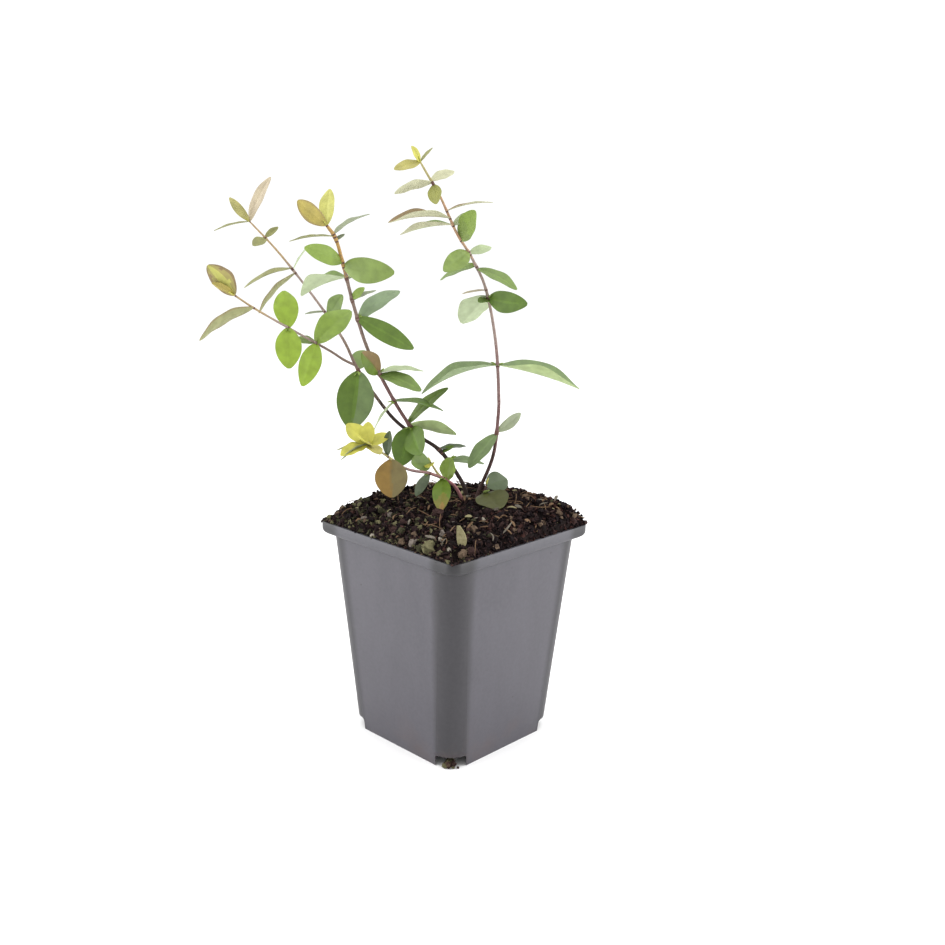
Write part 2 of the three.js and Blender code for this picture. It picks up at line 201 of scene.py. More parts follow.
def add_lamp(name, place, size, power):
    """A square soft box that looks at the middle of the plant."""
    data = bpy.data.lights.new(name, "AREA")
    data.size = size * MM
    data.energy = power
    lamp = bpy.data.objects.new(name, data)
    bpy.context.scene.collection.objects.link(lamp)
    lamp.location = Vector(place) * MM
    lamp.rotation_euler = (CAMERA_TARGET - lamp.location).to_track_quat("-Z", "Y").to_euler()


side = SIDE_LAMP_REACH / math.sqrt(2)
add_lamp("left_soft_box", (-side, -side, SIDE_LAMP_HEIGHT), SIDE_LAMP_SIZE, SIDE_LAMP_POWER)
add_lamp("right_soft_box", (side, side, SIDE_LAMP_HEIGHT), SIDE_LAMP_SIZE, SIDE_LAMP_POWER)
add_lamp("top_soft_box", (0, 0, TOP_LAMP_HEIGHT), TOP_LAMP_SIZE, TOP_LAMP_POWER)

# %% [markdown]
# Operators work on what is selected, and a fresh primitive is selected all over. So each step first
# drops the selection and then picks faces, edges or points by where they are. A short helper does the
# picking in edit mode, from a test of each element's middle.

# %% Helpers for modelling
def drop_selection():
    """Leaves edit mode and selects nothing."""
    if bpy.context.object and bpy.context.object.mode != "OBJECT":
        bpy.ops.object.mode_set(mode="OBJECT")
    bpy.ops.object.select_all(action="DESELECT")


def select_only(piece):
    """Selects one object and makes it the active one."""
    drop_selection()
    piece.select_set(True)
    bpy.context.view_layer.objects.active = piece


def middle_of(element):
    """The middle of a point, an edge or a face, in metres."""
    if hasattr(element, "co"):
        return element.co
    return sum((point.co for point in element.verts), Vector()) / len(element.verts)


def pick(kind, test):
    """Selects the verts, edges or faces of the open mesh whose middle, in millimetres, passes a test."""
    bpy.ops.mesh.select_mode(type={"verts": "VERT", "edges": "EDGE", "faces": "FACE"}[kind])
    bpy.ops.mesh.select_all(action="DESELECT")
    opened = bmesh.from_edit_mesh(bpy.context.object.data)
    for element in getattr(opened, kind):
        if test(middle_of(element) / MM):
            element.select_set(True)
    opened.select_flush_mode()
    bmesh.update_edit_mesh(bpy.context.object.data)


def apply_modifiers(piece):
    """Applies every modifier of a piece, in order."""
    select_only(piece)
    for modifier in list(piece.modifiers):
        bpy.ops.object.modifier_apply(modifier=modifier.name)


def add_relief(piece, texture, size, height):
    """Pushes the points of a piece in and out by a cloud texture, both in millimetres."""
    texture.noise_scale = size * MM
    relief = piece.modifiers.new(texture.name, "DISPLACE")
    relief.texture = texture
    relief.texture_coords = "LOCAL"
    relief.strength = height * MM
    return relief


def smooth_piece(piece, degrees):
    """Shades a piece smooth, but keeps every edge that turns by more than some degrees."""
    select_only(piece)
    bpy.ops.object.shade_smooth_by_angle(angle=math.radians(degrees))


def triangles_of(piece):
    """How many triangles a piece has."""
    piece.data.calc_loop_triangles()
    return len(piece.data.loop_triangles)


print("triangles of the table:", triangles_of(floor))

# %% [markdown]
# The pot is injection moulded in recycled polypropylene: a square wall that tapers so that pots nest,
# corners rounded to a finger's breadth, and a wider lip with tighter corners. By hand it starts as two
# boxes, one for the wall and one for the lip. Their upright edges are bevelled round, their caps are
# opened, and the two loops that face each other are bridged into the step under the lip. The step's
# outer loop is bevelled into a chamfer and its inner loop into a fillet, so it casts no hard line.

# %% The pot's wall and lip
POT_HEIGHT = 103
LIP_SIDE = 90
LIP_HEIGHT = 5.5
LIP_CORNER = 5
LIP_CHAMFER = 2.1
LIP_FILLET = 0.6
WALL_TOP_SIDE = 84.4
WALL_FOOT_SIDE = 68.7
WALL_CORNER = 10
WALL = 1.3
FLOOR = 1.6
CORNER_STEPS = 12
LIP_FOOT = POT_HEIGHT - LIP_HEIGHT
NEAR = 0.01


def rounded_block(name, foot_side, top_side, low, high, corner):
    """An upright box with rounded corners, tapered to its foot, left open in edit mode."""
    drop_selection()
    bpy.ops.mesh.primitive_cube_add(size=MM)
    block = bpy.context.object
    block.name = name
    block.data.name = name
    block.scale = (top_side, top_side, high - low)
    block.location.z = (low + high) / 2 * MM
    bpy.ops.object.transform_apply(location=True, rotation=False, scale=True)
    bpy.ops.object.mode_set(mode="EDIT")
    pick("faces", lambda p: p.z < low + NEAR)
    taper = foot_side / top_side
    bpy.ops.transform.resize(value=(taper, taper, 1), center_override=(0, 0, low * MM))
    pick("edges", lambda p: low + NEAR < p.z < high - NEAR)
    bpy.ops.mesh.bevel(offset=corner * MM, segments=CORNER_STEPS, affect="EDGES")
    return block


def beyond_core(p, side, corner):
    """How far a place is outside the core of a rounded square. On its outline that is the corner radius."""
    core = side / 2 - corner
    return math.hypot(max(abs(p.x) - core, 0), max(abs(p.y) - core, 0))


def at_step(p):
    """Whether a place is level with the step under the lip."""
    return abs(p.z - LIP_FOOT) < NEAR


wall = rounded_block("nursery_pot", WALL_FOOT_SIDE, WALL_TOP_SIDE, 0, LIP_FOOT, WALL_CORNER)
pick("faces", at_step)
bpy.ops.mesh.delete(type="FACE")
lip = rounded_block("lip", LIP_SIDE, LIP_SIDE, LIP_FOOT, POT_HEIGHT, LIP_CORNER)
pick("faces", lambda p: p.z > POT_HEIGHT - NEAR or at_step(p))
bpy.ops.mesh.delete(type="FACE")
select_only(wall)
lip.select_set(True)
bpy.ops.object.join()
bpy.ops.object.mode_set(mode="EDIT")
pick("edges", at_step)
bpy.ops.mesh.bridge_edge_loops()
pick("edges", lambda p: at_step(p) and beyond_core(p, LIP_SIDE, LIP_CORNER) > LIP_CORNER - 0.1)
bpy.ops.mesh.bevel(offset=LIP_CHAMFER * MM, segments=5, affect="EDGES")
pick("edges", lambda p: at_step(p) and beyond_core(p, WALL_TOP_SIDE, WALL_CORNER) < WALL_CORNER + 0.05)
bpy.ops.mesh.bevel(offset=LIP_FILLET * MM, segments=4, affect="EDGES")
bpy.ops.mesh.select_all(action="SELECT")
bpy.ops.mesh.normals_make_consistent(inside=False)
drop_selection()
pot = wall
print("open shell of the pot:", len(pot.data.polygons), "faces")

# %% [markdown]
# A real pot doesn't stand on a flat sheet: the middle of its underside is drawn up a little, so that
# only a rim carries it. That is one inset and one short move. Then the shell gets its thickness
# inwards, and a box with a rounded top cuts a drain slot through each foot corner. A narrow bevel
# breaks every sharp edge, as the mould does, and catches a line of light along the lip.

# %% The pot's foot, thickness and drain slots
FOOT_RIM = 5
FOOT_RECESS = 0.5
DRAIN_WIDTH = 14
DRAIN_HEIGHT = 5.5
DRAIN_REACH = 19
DRAIN_CORNER = 1.2
MOULD_EDGE = 0.3
CORNER_OUT = (WALL_FOOT_SIDE / 2 - WALL_CORNER) * math.sqrt(2) + WALL_CORNER


def drain_cutters(width, height, reach):
    """The four boxes that cut a slot through the foot of each corner."""
    cutters = []
    for quarter in range(4):
        turn = EIGHTH_TURN * (2 * quarter + 1)
        drop_selection()
        bpy.ops.mesh.primitive_cube_add(size=MM)
        cutter = bpy.context.object
        cutter.scale = (2 * reach, width, 2 * height)
        cutter.rotation_euler.z = turn
        cutter.location = Vector((math.cos(turn), math.sin(turn), 0)) * CORNER_OUT * MM
        bpy.ops.object.transform_apply(location=False, rotation=False, scale=True)
        bpy.ops.object.mode_set(mode="EDIT")
        pick("edges", lambda p: p.z > height - NEAR and abs(p.y) > width / 2 - NEAR)
        bpy.ops.mesh.bevel(offset=DRAIN_CORNER * MM, segments=4, affect="EDGES")
        bpy.ops.object.mode_set(mode="OBJECT")
        bpy.ops.object.transform_apply(location=True, rotation=True, scale=False)
        cutters.append(cutter)
    return cutters


def cut_away(piece, cutters):
    """Cuts each cutter out of a piece and removes it."""
    for cutter in cutters:
        cut = piece.modifiers.new("cut", "BOOLEAN")
        cut.operation = "DIFFERENCE"
        cut.solver = "EXACT"
        cut.object = cutter
        apply_modifiers(piece)
        bpy.data.objects.remove(cutter)


select_only(pot)
bpy.ops.object.mode_set(mode="EDIT")
pick("faces", lambda p: p.z < NEAR)
bpy.ops.mesh.inset(thickness=FOOT_RIM * MM)
bpy.ops.mesh.inset(thickness=FOOT_RECESS * MM)
bpy.ops.transform.translate(value=(0, 0, FOOT_RECESS * MM))
drop_selection()
shell = pot.modifiers.new("thickness", "SOLIDIFY")
shell.thickness = WALL * MM
shell.offset = -1
shell.use_even_offset = True
apply_modifiers(pot)
cut_away(pot, drain_cutters(DRAIN_WIDTH, DRAIN_HEIGHT, DRAIN_REACH))
edge = pot.modifiers.new("mould edge", "BEVEL")
edge.width = MOULD_EDGE * MM
edge.segments = 2
edge.limit_method = "ANGLE"
edge.angle_limit = math.radians(50)
apply_modifiers(pot)
smooth_piece(pot, 35)
print("pot:", triangles_of(pot), "triangles")

# %% [markdown]
# Recycled polypropylene straight from the mould is a satin mid grey. The rounded corners are painted darker
# than the flat faces: partly by a thin pale layer of dust that handling leaves on the flats and rubs off the
# corners, and partly as painted shade, which puts on all four corners the dark band that the lamps leave on
# the corner facing the camera. Near a corner the smaller of a point's two level distances from the axis is
# nearly as large as the greater one, and the share between them says how much darker the corner is painted.
# The lip is painted darker than the wall, above all at its corners, as painted shade that carries the dark
# corner band up to the rim. Splashes of compost dry to specks of half a millimetre.

# %% Masks for the pot's plastic
SPECK_SPACING = 6.3
SPECK_EDGE = {"From Min": 0.05, "From Max": 0.09, "To Min": 1.0, "To Max": 0.0}
SPECKS_FROM = {"From Min": 0.62, "From Max": 0.66}
SPECK_STRENGTH = 0.6
SMEAR_SIZE = 14
SMEARS_FROM = {"From Min": 0.5, "From Max": 0.75}
STAIN_REACH = 24
STAIN_FADE = {"From Min": 4 * MM, "From Max": STAIN_REACH * MM, "To Min": 0.35, "To Max": 0.0}


def corner_share(tree, parts):
    """How near a point is to a corner of the pot: 0 in the middle of a face and 1 on the corner."""
    x, y = [add_node(tree, "ShaderNodeMath", links={0: parts[axis]}, operation="ABSOLUTE").outputs[0]
            for axis in ("X", "Y")]
    small, large = [add_node(tree, "ShaderNodeMath", links={0: x, 1: y}, operation=choice).outputs[0]
                    for choice in ("MINIMUM", "MAXIMUM")]
    return add_node(tree, "ShaderNodeMath", links={0: small, 1: large}, operation="DIVIDE").outputs[0]


def speck_mask(tree, place):
    """Partly opaque on a few small round specks, and nil between them."""
    specks = add_node(tree, "ShaderNodeTexVoronoi", {"Scale": 1 / (SPECK_SPACING * MM)}, {"Vector": place})
    dot = add_node(tree, "ShaderNodeMapRange", SPECK_EDGE, {"Value": specks.outputs["Distance"]})
    lot = add_node(tree, "ShaderNodeSeparateColor", links={"Color": specks.outputs["Color"]})
    rare = add_node(tree, "ShaderNodeMapRange", SPECKS_FROM, {"Value": lot.outputs["Red"]})
    both = add_node(tree, "ShaderNodeMath", links={0: dot.outputs["Result"], 1: rare.outputs["Result"]},
                    operation="MULTIPLY")
    faint = add_node(tree, "ShaderNodeMath", {1: SPECK_STRENGTH}, {0: both.outputs[0]},
                     operation="MULTIPLY")
    return faint.outputs[0]


def stain_mask(tree, place, level):
    """Cloudy stains that fade out above the foot."""
    near_foot = add_node(tree, "ShaderNodeMapRange", STAIN_FADE, {"Value": level})
    smear = add_node(tree, "ShaderNodeTexNoise", {"Scale": 1 / (SMEAR_SIZE * MM), "Detail": 4.0},
                     {"Vector": place})
    patch = add_node(tree, "ShaderNodeMapRange", SMEARS_FROM, {"Value": smear.outputs["Fac"]})
    stain = add_node(tree, "ShaderNodeMath",
                     links={0: near_foot.outputs["Result"], 1: patch.outputs["Result"]},
                     operation="MULTIPLY")
    return stain.outputs[0]


print("specks stand about", SPECK_SPACING, "mm apart, and stains reach", STAIN_REACH, "mm up the wall")

# %% The pot's plastic
# The corners and the lip are painted darker: the corners partly as dust worn off and partly as painted
# shade, the lip as painted shade.
RUBBED_AND_SHADED_SHARES = {"From Min": 0.64, "From Max": 0.77}
LIP_SHADE_LEVELS = {"From Min": 94 * MM, "From Max": 99 * MM}
SATIN = {"To Min": 0.42, "To Max": 0.56}
FLOW_SIZE = 9.0
FLOW_SCALE = (1, 1, 0.3)
CLOUD_SIZE = 1.6
CLOUD_SHARE = 0.4
GRAIN_SIZE = 0.5
GRAIN_STRENGTH = 0.12
GRAIN_DEPTH = 0.05
# The corner and lip pairs are darker than the dusty pair: painted shade, and on the corners also dust worn
# off.
FILM_AND_SHADE_TONES = {"dusty": ("#3e3c43", "#4a484f"), "rubbed_shaded_corner": ("#242227", "#2f2d32"),
         "touched": ("#3c3b41", "#48474d"), "lip_corner_shaded": ("#19181b", "#242327")}
SPECK_TONE = "#2a2321"
STAIN_TONE = "#57453f"


def films_and_painted_shade(tree, mottle, share, level):
    """The mottled grey of the plastic, from dusty flats to corners painted darker, partly dust worn off and
    partly painted shade, and a darker pair on the lip as painted shade.
    """
    corner_rub_and_shade = add_node(tree, "ShaderNodeMapRange", RUBBED_AND_SHADED_SHARES, {"Value": share},
                      interpolation_type="SMOOTHSTEP").outputs["Result"]
    on_lip = add_node(tree, "ShaderNodeMapRange", LIP_SHADE_LEVELS, {"Value": level}).outputs["Result"]
    plastic_tones = {}
    for name, tones in FILM_AND_SHADE_TONES.items():
        ramp = add_node(tree, "ShaderNodeValToRGB", None, {"Fac": mottle}, zip(MOTTLE, tones))
        plastic_tones[name] = ramp.outputs["Color"]
    flats, corners = [
        add_node(tree, "ShaderNodeMix", None, {0: on_lip, 6: plastic_tones[wall], 7: plastic_tones[lip]},
                 data_type="RGBA").outputs[2]
        for wall, lip in (("dusty", "touched"), ("rubbed_shaded_corner", "lip_corner_shaded"))]
    # Mixing towards the corner tones paints shade on the corners, over the dust worn off them.
    film_with_painted_shade = add_node(tree, "ShaderNodeMix", None, {0: corner_rub_and_shade, 6: flats, 7: corners}, data_type="RGBA")
    return film_with_painted_shade.outputs[2]


def pot_plastic():
    """Recycled polypropylene, moulded: satin grey, dusty on its flats, its corners painted darker as
    worn-off dust and painted shade, its lip darker as painted shade, with dried specks and stains.
    """
    material, tree = new_material("moulded recycled polypropylene")
    place = add_node(tree, "ShaderNodeTexCoord").outputs["Object"]
    parts = add_node(tree, "ShaderNodeSeparateXYZ", links={"Vector": place}).outputs
    drawn = add_node(tree, "ShaderNodeMapping", {"Scale": FLOW_SCALE}, {"Vector": place})
    flow = add_node(tree, "ShaderNodeTexNoise", {"Scale": 1 / (FLOW_SIZE * MM), "Detail": 3.0},
                    {"Vector": drawn.outputs["Vector"]})
    cloud = add_node(tree, "ShaderNodeTexNoise", {"Scale": 1 / (CLOUD_SIZE * MM), "Detail": 3.0},
                     {"Vector": place})
    mottle = add_node(tree, "ShaderNodeMix", {0: CLOUD_SHARE},
                      {2: flow.outputs["Fac"], 3: cloud.outputs["Fac"]}, data_type="FLOAT")
    colour = films_and_painted_shade(tree, mottle.outputs[0], corner_share(tree, parts), parts["Z"])
    masks = {SPECK_TONE: speck_mask(tree, place), STAIN_TONE: stain_mask(tree, place, parts["Z"])}
    for tone, mask in masks.items():
        colour = add_node(tree, "ShaderNodeMix", {7: linear(tone)}, {0: mask, 6: colour},
                          data_type="RGBA").outputs[2]
    grain = add_node(tree, "ShaderNodeTexNoise", {"Scale": 1 / (GRAIN_SIZE * MM), "Detail": 2.0},
                     {"Vector": place})
    bump = add_node(tree, "ShaderNodeBump", {"Strength": GRAIN_STRENGTH, "Distance": GRAIN_DEPTH * MM},
                    {"Height": grain.outputs["Fac"]})
    gloss = add_node(tree, "ShaderNodeMapRange", SATIN, {"Value": flow.outputs["Fac"]})
    plastic = add_node(
        tree, "ShaderNodeBsdfPrincipled", {"IOR": 1.49},
        {"Base Color": colour, "Roughness": gloss.outputs["Result"], "Normal": bump.outputs["Normal"]})
    add_node(tree, "ShaderNodeOutputMaterial", None, {"Surface": plastic.outputs["BSDF"]})
    return material


pot.data.materials.clear()
pot.data.materials.append(pot_plastic())
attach(pot, "root")
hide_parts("pot")
print("pot dressed in", pot.data.materials[0].name)

# %% [markdown]
# The compost is a heap of peat crumbs. Its ground form is the source's: it fills the pot, stands a little
# over the rim, falls away at the back corner and lies level round the feet of the shoots. A fine grid is
# laid over the mouth of the pot and lifted to that height, and its border is extruded down inside the
# wall.

# %% The height of the heap
GAP = 0.3
HEAP_HEIGHT = 6.6
HEAP_SHOULDER = 9
HEAP_CORNER = 6
HEAP_EDGE = 1.4
HEAP_RIGHT_SLOPE = 0.024
HEAP_BACK_SLOPE = 0.058
HEAP_BACK_FALL = 6.5
HEAP_FALL = (20, 52)
LUMP = 1.4
LUMP_WAVES = [[0.61, 0.22, 1.3], [0.33, -0.57, 2.1], [-0.24, 0.83, 0.4]]
CROWN = (8, 11)
CROWN_LEVEL = 110.5
CROWN_FLAT = 9
CROWN_FADE = 8


def seen_from_corner(x, y):
    """Places of the pot's frame in the shoots' frame, whose x runs right and y away in the picture."""
    return (x + y) * math.sqrt(0.5), (y - x) * math.sqrt(0.5)


def from_seen(right, away):
    """The x and y in the pot's frame of places that are given as they are seen."""
    return (right - away) * math.sqrt(0.5), (right + away) * math.sqrt(0.5)


def smooth_step(value, start, end):
    """From 0 at the start to 1 at the end, level at both."""
    share = np.clip((value - start) / (end - start), 0, 1)
    return share * share * (3 - 2 * share)


def heap_level(x, y):
    """The compost's height over arrays of places, all in millimetres."""
    reach = (np.abs(x) ** HEAP_CORNER + np.abs(y) ** HEAP_CORNER) ** (1 / HEAP_CORNER)
    across = np.minimum(1, reach / (LIP_SIDE / 2))
    right, away = seen_from_corner(x, y)
    edge = POT_HEIGHT + HEAP_EDGE + HEAP_RIGHT_SLOPE * right + HEAP_BACK_SLOPE * away
    edge = edge - HEAP_BACK_FALL * smooth_step(away, *HEAP_FALL)
    lumps = sum(np.sin(x * a + y * b + phase) for a, b, phase in LUMP_WAVES) / len(LUMP_WAVES)
    heap = edge + HEAP_HEIGHT * (1 - across ** HEAP_SHOULDER) + LUMP * lumps
    from_crown = np.hypot(right - CROWN[0], away - CROWN[1])
    blend = smooth_step(from_crown, CROWN_FLAT, CROWN_FLAT + CROWN_FADE)
    return CROWN_LEVEL + (heap - CROWN_LEVEL) * blend


middle_level = heap_level(np.array([0.0]), np.array([0.0]))
print("heap at the middle of the pot:", round(float(middle_level[0]), 1), "mm")

# %% The body of the compost
HEAP_STEPS = 150
CALM = [(CROWN, 13), ((18, -2), 12)]
CALM_SHARE = 0.25
BORDER = 0.5
BRIM_SIDE = LIP_SIDE - 2 * (WALL + GAP)
BRIM_CORNER = LIP_CORNER - WALL - GAP
SHOULDER = LIP_FOOT + WALL + GAP
FILL_FOOT = FLOOR + GAP
FILL_SLACK = 3
CRUMB_RELIEF = [("clod relief", 5.0, 2.2), ("crumb relief", 2.2, 1.6)]


def fill_side(level):
    """The side of the filling at a level, drawn in so that its corners stay clear of the pot's."""
    wall_side = WALL_FOOT_SIDE + (WALL_TOP_SIDE - WALL_FOOT_SIDE) * level / LIP_FOOT
    return wall_side - 2 * (WALL + GAP + FILL_SLACK)


def round_corners(x, y, side, corner):
    """Draws the places of a square in, so that its corners are round."""
    reach = side / 2 - corner
    over_x = np.maximum(np.abs(x) - reach, 0)
    over_y = np.maximum(np.abs(y) - reach, 0)
    far = np.hypot(over_x, over_y)
    longest = np.maximum(np.maximum(over_x, over_y), 1e-9)
    shrink = np.where(far > 0, longest / np.maximum(far, 1e-9), 1)
    new_x = np.sign(x) * (np.minimum(np.abs(x), reach) + over_x * shrink)
    new_y = np.sign(y) * (np.minimum(np.abs(y), reach) + over_y * shrink)
    return new_x, new_y


def calm(x, y):
    """How rough the ground is over arrays of places: little round the crown and under the foot leaves."""
    right, away = seen_from_corner(x, y)
    shares = [smooth_step(np.hypot(right - at[0], away - at[1]), reach / 2, reach) for at, reach in CALM]
    return CALM_SHARE + (1 - CALM_SHARE) * np.minimum(*shares)


drop_selection()
bpy.ops.mesh.primitive_grid_add(x_subdivisions=HEAP_STEPS, y_subdivisions=HEAP_STEPS, size=BRIM_SIDE * MM)
heap = bpy.context.object
heap.name = "peat_heap"
flat = np.array([point.co for point in heap.data.vertices]) / MM
heap_x, heap_y = round_corners(flat[:, 0], flat[:, 1], BRIM_SIDE, BRIM_CORNER)
lifted = np.column_stack([heap_x, heap_y, heap_level(heap_x, heap_y)]) * MM
heap.data.vertices.foreach_set("co", lifted.ravel())
heap.data.update()
loose = heap.vertex_groups.new(name="loose")
for k, rough in enumerate(calm(heap_x, heap_y)):
    if max(abs(flat[k, 0]), abs(flat[k, 1])) < BRIM_SIDE / 2 - BORDER:
        loose.add([k], rough, "REPLACE")
for name, size, height in CRUMB_RELIEF:
    texture = bpy.data.textures.new(name, "CLOUDS")
    texture.noise_depth = 2
    relief = add_relief(heap, texture, size, height)
    relief.direction = "Z"
    relief.vertex_group = "loose"
apply_modifiers(heap)
ground = np.zeros((HEAP_STEPS + 1, HEAP_STEPS + 1))
columns, rows = np.rint((flat[:, :2].T / BRIM_SIDE + 0.5) * HEAP_STEPS).astype(int)
ground[rows, columns] = [point.co.z / MM for point in heap.data.vertices]


def ground_at(x, y):
    """The height of the ground with its relief over one place, in millimetres."""
    column, row = (int(round(HEAP_STEPS * min(max(value / BRIM_SIDE + 0.5, 0), 1))) for value in (x, y))
    return ground[row, column]


print("heap:", triangles_of(heap), "triangles")

# %% The compost inside the pot
SLOT_SLACK = (2, 2.5, 3)

heap_low = min(point.co.z for point in heap.data.vertices) / MM
select_only(heap)
bpy.ops.object.mode_set(mode="EDIT")
bpy.ops.mesh.select_all(action="DESELECT")
bpy.ops.mesh.select_mode(type="EDGE")
bpy.ops.mesh.select_non_manifold()
bpy.ops.mesh.extrude_region_move()
bpy.ops.transform.resize(value=(1, 1, 0), center_override=(0, 0, SHOULDER * MM))
inwards = fill_side(SHOULDER) / BRIM_SIDE
bpy.ops.mesh.extrude_region_move()
bpy.ops.transform.resize(value=(inwards, inwards, 1), center_override=(0, 0, SHOULDER * MM))
bpy.ops.mesh.extrude_region_move(TRANSFORM_OT_translate={"value": (0, 0, (FILL_FOOT - SHOULDER) * MM)})
down = fill_side(FILL_FOOT) / fill_side(SHOULDER)
bpy.ops.transform.resize(value=(down, down, 1), center_override=(0, 0, FILL_FOOT * MM))
bpy.ops.mesh.edge_face_add()
bpy.ops.mesh.select_all(action="SELECT")
bpy.ops.mesh.normals_make_consistent(inside=False)
drop_selection()
cut_away(heap, drain_cutters(*np.add((DRAIN_WIDTH, DRAIN_HEIGHT, DRAIN_REACH), SLOT_SLACK)))
smooth_piece(heap, 60)
print("compost with its filling:", triangles_of(heap), "triangles, lowest crumb", round(heap_low, 1), "mm")

# %% [markdown]
# Seen close, peat is dark brown, with nearly black crumbs, a few redder fibres and olive bits of moss. Each
# of those is a finish of its own, mottled at the size of its crumbs and pitted more finely. The ground under
# the crumbs is nearly black as well: the dark tone of wet peat, and painted shade for the hollows between
# the crumbs. Damp peat swallows most of the light that falls on it, so it is rough and its specular is set
# low.

# %% The peat's materials
PEAT_GRAIN = 0.5
PEAT_PITS = 0.3


def peat_material(name, dark, light, crumb=2.0):
    """Damp peat or wood, matte and uneven in tone at the size of its crumbs."""
    material, tree = new_material(name)
    place = add_node(tree, "ShaderNodeTexCoord").outputs["Object"]
    mottle = add_node(tree, "ShaderNodeTexNoise",
                      {"Scale": 1 / (crumb * MM), "Detail": 6.0, "Roughness": 0.7}, {"Vector": place})
    colour = add_node(tree, "ShaderNodeValToRGB", None, {"Fac": mottle.outputs["Fac"]},
                      zip(MOTTLE, (dark, light)))
    fine = add_node(tree, "ShaderNodeTexNoise", {"Scale": 1 / (PEAT_GRAIN * MM), "Detail": 3.0},
                    {"Vector": place})
    pits = add_node(tree, "ShaderNodeBump", {"Strength": 0.6, "Distance": PEAT_PITS * MM},
                    {"Height": fine.outputs["Fac"]})
    damp = add_node(tree, "ShaderNodeBsdfPrincipled", {"Roughness": 0.9, "Specular IOR Level": 0.1},
                    {"Base Color": colour.outputs["Color"], "Normal": pits.outputs["Normal"]})
    add_node(tree, "ShaderNodeOutputMaterial", None, {"Surface": damp.outputs["BSDF"]})
    return material


PEAT = {
    "peat black": ("#0d080a", "#191113"),
    "peat dark brown": ("#181012", "#2a1d1d"),
    "peat brown": ("#281c1b", "#3f2e2b"),
    "peat red brown": ("#2e1c1a", "#472f2a"),
    "composted bark": ("#43362d", "#6a5a4a"),
    "dead moss": ("#26251a", "#434230"),
    "pale moss": ("#45432f", "#6b674c"),
}
peat = {name: peat_material(name, *tones) for name, tones in PEAT.items()}
heap.data.materials.clear()
# The ground is painted nearly black: wet peat's own dark tone, and painted shade for the hollows between
# crumbs.
heap.data.materials.append(peat_material("peat ground with painted hollow shade", "#0a0707", "#1f1614", crumb=3.0))
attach(heap, "root")
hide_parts("compost")
print("kinds of peat:", len(peat))

# %% [markdown]
# Thousands of crumbs make the surface. A fine crumb is a sphere of twenty faces whose corners are pushed
# about, and a clod is a cube subdivided twice with a fractal push. A handful of such lumps, each from its
# own seed, are turned, scaled and joined by arrays into one mesh, because so many small objects would be
# slow. The number generator has a fixed seed, so every run lays the same crumbs.

# %% Shapes of crumbs
CRUMB_SHAPES = 12
CLOD_SHAPES = 8
CRUMB_PUSH = 0.85
CLOD_PUSH = 0.3


def lump_arrays():
    """Points about their middle and faces of the open lump, which is then removed."""
    bpy.ops.object.mode_set(mode="OBJECT")
    lump = bpy.context.object
    points = np.array([point.co for point in lump.data.vertices])
    faces = np.array([list(face.vertices) for face in lump.data.polygons])
    bpy.data.objects.remove(lump)
    return points - points.mean(axis=0), faces


def crumb_shape(seed):
    """One angular crumb about a unit in radius."""
    drop_selection()
    bpy.ops.mesh.primitive_ico_sphere_add(subdivisions=1, radius=1)
    bpy.ops.object.mode_set(mode="EDIT")
    bpy.ops.transform.vertex_random(offset=CRUMB_PUSH, uniform=1.0, seed=seed)
    return lump_arrays()


def clod_shape(seed):
    """One ragged clod about a unit in radius."""
    drop_selection()
    bpy.ops.mesh.primitive_cube_add(size=1.5)
    bpy.ops.object.mode_set(mode="EDIT")
    bpy.ops.mesh.subdivide(number_cuts=2, smoothness=0.8, fractal=3.0, seed=seed)
    bpy.ops.transform.vertex_random(offset=CLOD_PUSH, uniform=1.0, seed=seed)
    return lump_arrays()


def joined(name, copies, materials):
    """One piece from many copies: each its points in millimetres, its faces and its material's number."""
    points, faces, slots = [], [], []
    start = 0
    for copy_points, copy_faces, copy_slots in copies:
        points.append(copy_points)
        faces.extend((np.asarray(copy_faces) + start).tolist())
        slots.extend(np.broadcast_to(copy_slots, len(copy_faces)).tolist())
        start += len(copy_points)
    mesh = bpy.data.meshes.new(name)
    mesh.from_pydata((np.vstack(points) * MM).tolist(), [], faces)
    mesh.polygons.foreach_set("material_index", slots)
    for material in materials:
        mesh.materials.append(material)
    mesh.update()
    piece = bpy.data.objects.new(name, mesh)
    bpy.context.scene.collection.objects.link(piece)
    return piece


def random_turn(draw):
    """A rotation with no favourite direction."""
    spin = draw.normal(size=4)
    w, x, y, z = spin / np.linalg.norm(spin)
    return np.array([
        [1 - 2 * (y * y + z * z), 2 * (x * y - w * z), 2 * (x * z + w * y)],
        [2 * (x * y + w * z), 1 - 2 * (x * x + z * z), 2 * (y * z - w * x)],
        [2 * (x * z - w * y), 2 * (y * z + w * x), 1 - 2 * (x * x + y * y)],
    ])


crumb_shapes = [crumb_shape(seed) for seed in range(CRUMB_SHAPES)]
clod_shapes = [clod_shape(seed) for seed in range(CLOD_SHAPES)]
print("faces on a crumb:", len(crumb_shapes[0][1]), "and on a clod:", len(clod_shapes[0][1]))

# %% Places for crumbs
SHOULDER_BAND = (WALL + GAP + 0.3, 6.5)
BRINK_BAND = (WALL + GAP - 0.3, WALL + GAP + 0.8)
RIM_BAND = (0.7, 2.4)
RIM_END = 0.8
RIM_LEVEL = POT_HEIGHT - 0.3
draw = np.random.default_rng(7)


def on_heap(x, y):
    """The place on the heap over a point of the pot's plan, in millimetres."""
    return np.array([x, y, ground_at(x, y)])


def place_on_heap(draw, inside=BRIM_SIDE / 2 - BORDER):
    """A random place on the heap."""
    x, y = draw.uniform(-inside, inside, 2)
    x, y = round_corners(np.array([x]), np.array([y]), 2 * inside, BRIM_CORNER)
    return on_heap(x[0], y[0])


